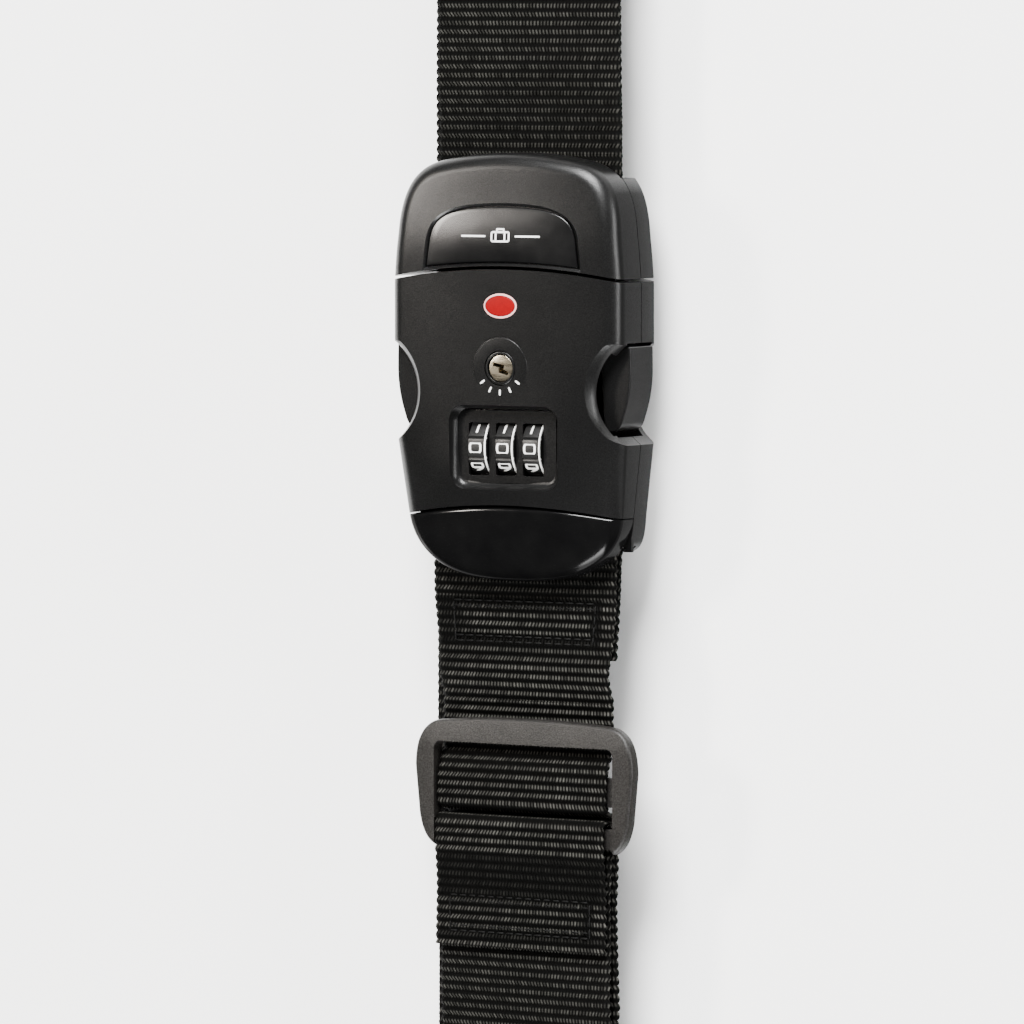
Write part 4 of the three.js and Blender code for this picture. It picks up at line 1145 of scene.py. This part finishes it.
def webbing(name, points, look, x=0.0, lean=False, twist=None, fine=True, start=0.0, soft=0.7,
            pressed=None, seed=0):
    """One stretch of webbing along a line of (y, z) points. start is its place along the whole strap."""
    step = RIB_PITCH / (8 if fine else 4)
    columns = 54 if fine else 16
    line, lengths = along_path(points, step, soft)
    s = lengths + start
    tangent = np.gradient(line, axis=0)
    tangent /= np.linalg.norm(tangent, axis=1, keepdims=True)
    normal = np.stack([-tangent[:, 1], tangent[:, 0]], 1)
    crest = ribs(s)
    # the loop round the webbing's section: face, edge, face, edge
    u = np.linspace(-1, 1, columns + 1)
    face = 1 - 0.75 * np.clip((np.abs(u) - 0.965) / 0.035, 0, 1) ** 2
    loop_u = np.r_[u, 1.006, 1.006, u[::-1], -1.006, -1.006]
    loop_h = np.r_[face, 0.12, -0.12, -face[::-1], -0.12, 0.12]
    size = len(loop_u)
    press = np.zeros((len(s), size))
    if pressed is not None:
        press = pressed(line[:, :1], line[:, 1:], loop_u[None, :] * WEB_WIDTH / 2)
    half_thick = WEB_THICK / 2 - 0.02 - 0.38 * (1 - crest)[:, None] * (1 - 0.7 * press) - 0.1 * press
    rng = np.random.default_rng(seed + 11)
    drift = np.interp(s, np.linspace(s[0], s[-1], 12), rng.normal(0, 0.22, 12))
    half_wide = WEB_WIDTH / 2 - 0.15 - 0.5 * (1 - crest)
    centre = np.full(len(s), x) + drift
    if lean:
        inside = (line[:, 1] > BACK_Z) & (np.abs(line[:, 0]) < 100)
        centre = centre - np.where(inside, 0, np.maximum(0, RUN_Z - line[:, 1])) * LAYER_LEAN
    across = half_wide[:, None] * loop_u[None, :]
    lift = half_thick * loop_h[None, :]
    ripple = 0.10 * np.sin(s[:, None] * 0.16 + across * 0.05 + seed) * (1 if fine else 0.4)
    y = line[:, :1] + normal[:, :1] * (lift + ripple)
    z = line[:, 1:] + normal[:, 1:] * (lift + ripple)
    px = across.copy()
    if twist:
        angle = twist_at(line[:, :1])
        pivot_x, pivot_z = (0.0, TWIST_Z) if twist == "middle" else (-WEB_WIDTH / 2, line[:, 1:])
        dx, dz = px - pivot_x, z - pivot_z
        px = pivot_x + dx * np.cos(angle) - dz * np.sin(angle)
        z = pivot_z + dx * np.sin(angle) + dz * np.cos(angle)
    px = px + centre[:, None]
    vertices = np.stack([px, y, z], 2).reshape(-1, 3)
    rows = len(s)
    index = np.arange(rows * size).reshape(rows, size)
    quads = np.stack([index[:-1], np.roll(index[:-1], -1, 1), np.roll(index[1:], -1, 1), index[1:]], 2)
    faces = quads.reshape(-1, 4).tolist()
    for row, flip in ((0, False), (rows - 1, True)):
        top = index[row, :columns + 1]
        bottom = index[row, columns + 3:2 * columns + 4][::-1]
        ends = [(top[i], bottom[i], bottom[i + 1], top[i + 1]) for i in range(columns)]
        ends.append((top[-1], bottom[-1], index[row, columns + 2], index[row, columns + 1]))
        ends.append((bottom[0], top[0], index[row, -1], index[row, -2]))
        faces += [quad[::-1] if flip else quad for quad in ends]
    obj = mesh_object(name, vertices, faces, look)
    mesh = obj.data
    attribute = mesh.attributes.new("weave", "FLOAT_VECTOR", "POINT")
    weave = np.stack([
        np.broadcast_to(loop_u[None, :] * WEB_WIDTH / 2 + 200, (rows, size)),
        np.broadcast_to(s[:, None] + 400, (rows, size)),
        np.broadcast_to(np.sign(loop_h)[None, :], (rows, size)) * 3.0,
    ], 2)
    attribute.data.foreach_set("vector", weave.reshape(-1).astype(np.float32))
    pressing = mesh.attributes.new("press", "FLOAT", "POINT")
    pressing.data.foreach_set("value", press.reshape(-1).astype(np.float32))
    shade(obj, 75)
    face_outwards(mesh)
    length = lengths[-1]
    return obj, start + length


def frame_point(y, z=RUN_Z, x=0.0):
    return tuple(place([(x, y, z)])[0])


def make_webbing(look):
    z5 = layer_z(5)
    half = LAYER_PITCH / 2
    top_radius = (RUN_Z - z5) / 2

    upper, at = webbing("strap_upper_run", [
        (77, 11.7), (67.6, 11.7), *arc(65.9, 13.6, 1.9, 1.9, 270, 90), (67.6, RUN_Z), (TOP_TURN_Y, RUN_Z),
        *arc(TOP_TURN_Y, (RUN_Z + z5) / 2, top_radius, top_radius, 90, -90),
    ], look, lean=True, seed=1)
    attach(upper, "plug")
    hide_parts("webbing_upper_run")

    layer5, at = webbing("strap_layer_5", layer_run(5, TOP_TURN_Y - 0.05, INNER_BOTTOM_Y + 0.05), look,
                         lean=True, twist="edge", fine=False, start=at, seed=2)
    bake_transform(layer5)
    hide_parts("webbing_layer_5")

    hank, at = webbing("strap_hank", [
        *arc(INNER_BOTTOM_Y, z5 - half, half, half, 90, 270),
        *layer_run(4, INNER_BOTTOM_Y, INNER_TOP_Y),
        *arc(INNER_TOP_Y, layer_z(3) + half, half, half, 90, -90),
        *layer_run(3, INNER_TOP_Y, INNER_BOTTOM_Y),
        *arc(INNER_BOTTOM_Y, layer_z(3) - half, half, half, 90, 270),
        *layer_run(2, INNER_BOTTOM_Y, INNER_TOP_Y),
        *arc(INNER_TOP_Y, layer_z(1) + half, half, half, 90, -90),
    ], look, lean=True, twist="edge", fine=False, start=at, soft=0.4, seed=3)
    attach(hank, "housing")
    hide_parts("webbing_hank")

    layer1, at = webbing("strap_layer_1", layer_run(1, INNER_TOP_Y - 0.05, BOTTOM_TURN_Y + 0.05), look,
                         lean=True, twist="edge", fine=False, start=at, seed=4)
    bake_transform(layer1)
    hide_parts("webbing_layer_1")

    low_mid = (layer_z(1) + 16.4) / 2
    low_radius = (16.4 - layer_z(1)) / 2
    lower, at = webbing("strap_lower_run", [
        *arc(BOTTOM_TURN_Y, low_mid, low_radius, low_radius, 270, 90, 24),
        (-125, 16.4), (-93, 16.4), (-85, 15.4), (-81.5, 15),
        *arc(-75.6, 16.95, 1.5, 1.95, -90, 90), (-81.5, 18.9), (-89, 18.2), (-105.5, 18.2),
    ], look, x=LOWER_X, lean=True, twist="middle", start=at, seed=5, pressed=pressed_lower)
    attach(lower, "adjuster")
    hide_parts("webbing_lower_run")

    run, at = webbing("strap_adjuster_run", [
        (-35.7, 14.4), (-18, 14.3), (-14, 13.8), (-9, 12.7), *arc(-6, 14.45, 1.75, 1.75, -90, 90),
        (-10, 16.2), (-18, 16.2), (-20, 16.2), (-38, 16.5), (-42, 16.1), (-46, 15.2),
    ], look, x=LOWER_X, twist="middle", seed=6, pressed=pressed_upper)
    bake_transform(run)
    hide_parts("webbing_adjuster_run")

    tail, at = webbing("strap_tail", [
        (-46.05, 15.1), (-56, 15), (-58, 15.35), (-61.4, 17.2), (-63.3, 17.95), (-70.4, 17.95), (-71.9, 17.5),
        (-72.3, 16.2), (-72.4, 14.6), (-73.2, 13.8), (-75, 13.5), (-85, 13.5), (-136, 13.5),
    ], look, x=LOWER_X, twist="middle", start=at, soft=0.5, seed=7)
    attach(tail, "adjuster")
    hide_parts("webbing_adjuster_wave", "webbing_tail")


def band(value, low, high, soft):
    """1 between low and high, easing to 0 over soft outside them."""
    return smooth(low - soft, low, value) * (1 - smooth(high, high + soft, value))


def pressed_upper(y, z, x):
    """The seam above the slide squeezes the webbing flat along its thread lines."""
    rows = np.maximum(band(y, -23.0, -21.4, 0.5), band(y, -32.2, -30.2, 0.5)) * band(x, -24, 21, 1)
    side = band(x, 19.4, 21.6, 0.5) * band(y, -32.2, -21.4, 0.5)
    left = 0.75 * band(x, -24, -18, 1.5) * band(y, -30.2, -23.0, 0.5)
    low = 0.35 * band(y, -36, -33, 0.5)
    return np.clip(np.maximum(np.maximum(rows, side), np.maximum(left, low)), 0, 1) * (z > 15.3)


def pressed_lower(y, z, x):
    rows = 0.9 * band(y, -92.6, -83.5, 1.2)
    patch = 0.45 * band(y, -94.2, -92.6, 0.5)
    side = band(x, 19.4, 21.6, 0.5) * band(y, -103, -93.5, 0.5)
    under = 0.8 * band(y, -103.4, -101.6, 0.5)
    return np.clip(np.maximum(np.maximum(rows, patch), np.maximum(side, under)), 0, 1) * (z > 16.9)


def surface_z(x, y, z):
    """Height of a point on a twisted run, from its place across and its untwisted height."""
    angle = float(twist_at(y))
    dz = z - TWIST_Z
    return (x * math.cos(angle) - dz * math.sin(angle) + LOWER_X, y,
            x * math.sin(angle) + dz * math.cos(angle) + TWIST_Z)


def stitch_box(name, look, body, low_y, high_y, half_x, top_z, blend=None):
    """A boxed seam: short raised stitches round a rectangle, in two rows at each end."""
    stitch, gap_between, thick = 2.3, 0.5, 0.42
    vertices, faces = [], []

    def add(ax, ay, bx, by):
        steps, sides = 6, 6
        base = len(vertices)
        direction = np.array([bx - ax, by - ay])
        length = np.linalg.norm(direction)
        direction = direction / length
        side = np.array([-direction[1], direction[0]])
        for i in range(steps + 1):
            t = i / steps
            bulge = math.sin(math.pi * t) ** 0.5
            for k in range(sides):
                a = k / sides * TAU
                px = ax + (bx - ax) * t + side[0] * math.cos(a) * thick / 2 * (0.35 + 0.65 * bulge)
                py = ay + (by - ay) * t + side[1] * math.cos(a) * thick / 2 * (0.35 + 0.65 * bulge)
                pz = top_z(py) - 0.22 + 0.2 * bulge + math.sin(a) * thick / 2 * (0.35 + 0.65 * bulge)
                vertices.append(surface_z(px, py, pz))
        faces.extend(tube_faces(steps + 1, sides, base) + cap_faces(steps + 1, sides, base))

    def row(ax, ay, bx, by):
        length = math.hypot(bx - ax, by - ay)
        count = max(1, round(length / (stitch + gap_between)))
        for i in range(count):
            t0 = i / count
            t1 = t0 + stitch / (stitch + gap_between) / count
            add(ax + (bx - ax) * t0, ay + (by - ay) * t0, ax + (bx - ax) * t1, ay + (by - ay) * t1)

    for y, inner in ((low_y, low_y + 1.3), (high_y, high_y - 1.3)):
        row(-half_x, y, half_x, y)
        row(-half_x, inner, half_x, inner)
    for x in (-half_x, half_x):
        row(x, low_y, x, high_y)
    obj = mesh_object(name, vertices, faces, look, 60)
    if blend:
        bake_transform(obj)
    else:
        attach(obj, body)
    return obj


def make_stitching(look):
    stitch_box("box_stitch_upper", look, "housing", -32.0, -22.2, 19.5,
               lambda y: 16.2 + 0.75 + (-20 - y) / 60,
               ("housing", "adjuster", frame_point(-22), frame_point(-46)))
    stitch_box("box_stitch_lower", look, "adjuster", -102.0, -93.4, 20.5, lambda y: 18.2 + 0.75)


def make_band(look):
    top = layer_z(5) + WEB_THICK / 2 + BAND_LIFT
    low = -RUN_Z * LAYER_LEAN - WEB_WIDTH / 2
    inner = [(low - 0.3, BAND_THICK), (low + WEB_WIDTH + 1.7, BAND_THICK),
             (low + WEB_WIDTH + top * LAYER_LEAN + 0.7, top + 0.3), (low + top * LAYER_LEAN - 1.3, top + 0.3)]
    points = []
    for i, (x, z) in enumerate(inner):
        nx, nz = inner[(i + 1) % 4]
        for k in range(24):
            t = k / 24
            points.append((x + (nx - x) * t, z + (nz - z) * t))
    points = np.array(points)
    for _ in range(3):
        points = (np.roll(points, 1, 0) + points * 2 + np.roll(points, -1, 0)) / 4
    points[:, 1] = np.maximum(points[:, 1], BAND_THICK)
    profile = []
    cords = 7
    for k in range(cords * 6 + 1):
        w = (k / (cords * 6) - 0.5) * BAND_WIDTH
        bulge = abs(math.sin(math.pi * k / 6)) ** 0.6
        profile.append((w, -0.02 - (BAND_THICK - 0.08) * (0.75 + 0.25 * bulge)))
    profile += [(BAND_WIDTH / 2, -0.02), (-BAND_WIDTH / 2, -0.02)]
    outward = inset(points, 1.0) - points
    vertices = [(x + ox * h, BAND_Y + w, max(z + oz * h, 0.0))
                for (x, z), (ox, oz) in zip(points, outward) for w, h in profile]
    faces = tube_faces(len(points), len(profile), closed=True)
    band = mesh_object("storage_band_detail", vertices, faces, look, 50)
    finish_piece(band, look, "housing", "elastic", "storage_band")


# ---------------------------------------------------------------- room
def area_light(name, place_at, aim_at, size, power, color=(1, 1, 1), size_y=None):
    data = bpy.data.lights.new(name, "AREA")
    data.shape = "RECTANGLE"
    data.size = size
    data.size_y = size_y or size
    data.energy = power
    data.color = color
    light = bpy.data.objects.new(name, data)
    bpy.context.collection.objects.link(light)
    light.location = place_at
    light.rotation_euler = (Vector(aim_at) - Vector(place_at)).to_track_quat("-Z", "Y").to_euler()
    light.visible_camera = False
    return light


def make_room():
    floor = mesh_object("floor", [(-6, -6, 0), (6, -6, 0), (6, 6, 0), (-6, 6, 0)], [(0, 1, 2, 3)],
                        floor_material(), in_mm=False)
    world = bpy.data.worlds.new("world")
    bpy.context.scene.world = world
    world.use_nodes = True
    world.node_tree.nodes["Background"].inputs[0].default_value = (1, 1, 1, 1)
    world.node_tree.nodes["Background"].inputs[1].default_value = 0.1
    middle = (0, 0.02, 0.02)
    # two wide lights beyond the strap's ends brighten the floor and leave the flat front dark
    area_light("fill_top", (0.25, 2.3, 1.9), middle, 1.3, 430)
    area_light("fill_low", (0.25, -2.5, 1.3), middle, 1.3, 210)
    # the warm light that slides over the plug from the upper left
    area_light("left_light", (-1.34, 0.62, 1.48), middle, 0.5, 42, (1.0, 0.94, 0.87), size_y=0.3)
    # a small strip on the right draws the thin line down the rounded edges
    area_light("edge_light", (2.2, 0.4, 0.38), middle, 1.2, 115, size_y=0.6)


# ---------------------------------------------------------------- carried-over nodes
def dress_cad(looks):
    slots = {part["node"]: part["material_slot"] for part in frame["record"]["subparts"]}
    for name, obj in frame["nodes"].items():
        look = looks.get(slots[name])
        if look:
            obj.data.materials.clear()
            obj.data.materials.append(look)


make_camera()
make_room()
black = moulded_plastic("matte_black", (0.0026, 0.0026, 0.0026), 1.35, 0.28, 0.036, 0.275, 0.315, 0.21)
graphite = moulded_plastic("graphite_plastic", (0.0055, 0.0051, 0.0047), 2.4, 0.4, 0.12, 0.34, 0.46, 0.24)
gloss = gloss_black("gloss_black", 0.15, 0.22)
label_gloss = gloss_black("label_gloss", 0.25, 0.42)
steel = metal("steel", (0.42, 0.41, 0.39), 0.32)
nickel = metal("nickel", (0.50, 0.44, 0.33), 0.27, 1500)
dial_black = moulded_plastic("dial_black", (0.005, 0.005, 0.005), 1.2, 0.2, 0.012, 0.3, 0.42)
white = painted("figure_white", (0.82, 0.82, 0.80), 0.45)
# painted highlight: the white dial rim stands in for light caught by the dial flange
rim_highlight_white = painted("dial_rim_painted_highlight", (0.85, 0.85, 0.83), 0.25, 0.3)
red = painted("badge_red", (0.16, 0.0015, 0.003), 0.4, specular=0.06)
pale = painted("badge_rim", (0.62, 0.36, 0.34), 0.4, specular=0.2)
cloth = webbing_material()
thread = thread_material()
elastic = painted("elastic", (0.010, 0.010, 0.010), 0.7, specular=0.08)

dress_cad({"matte_black": black, "gloss_black": gloss, "graphite_plastic": graphite, "dial_black": dial_black,
           "webbing": cloth, "steel": steel, "nickel": nickel, "red_insert": red, "elastic": elastic})
make_front_shell(black)
make_lower_cap(gloss)
make_rear_shell(black)
make_plug(black, label_gloss)
make_arms(black)
make_dials(dial_black, white, rim_highlight_white)
make_dial_frame(black)
make_key(nickel, black)
make_springs(steel)
make_badge(red, pale)
make_marks(white)
make_slide(graphite)
make_webbing(cloth)
make_stitching(thread)
make_band(elastic)
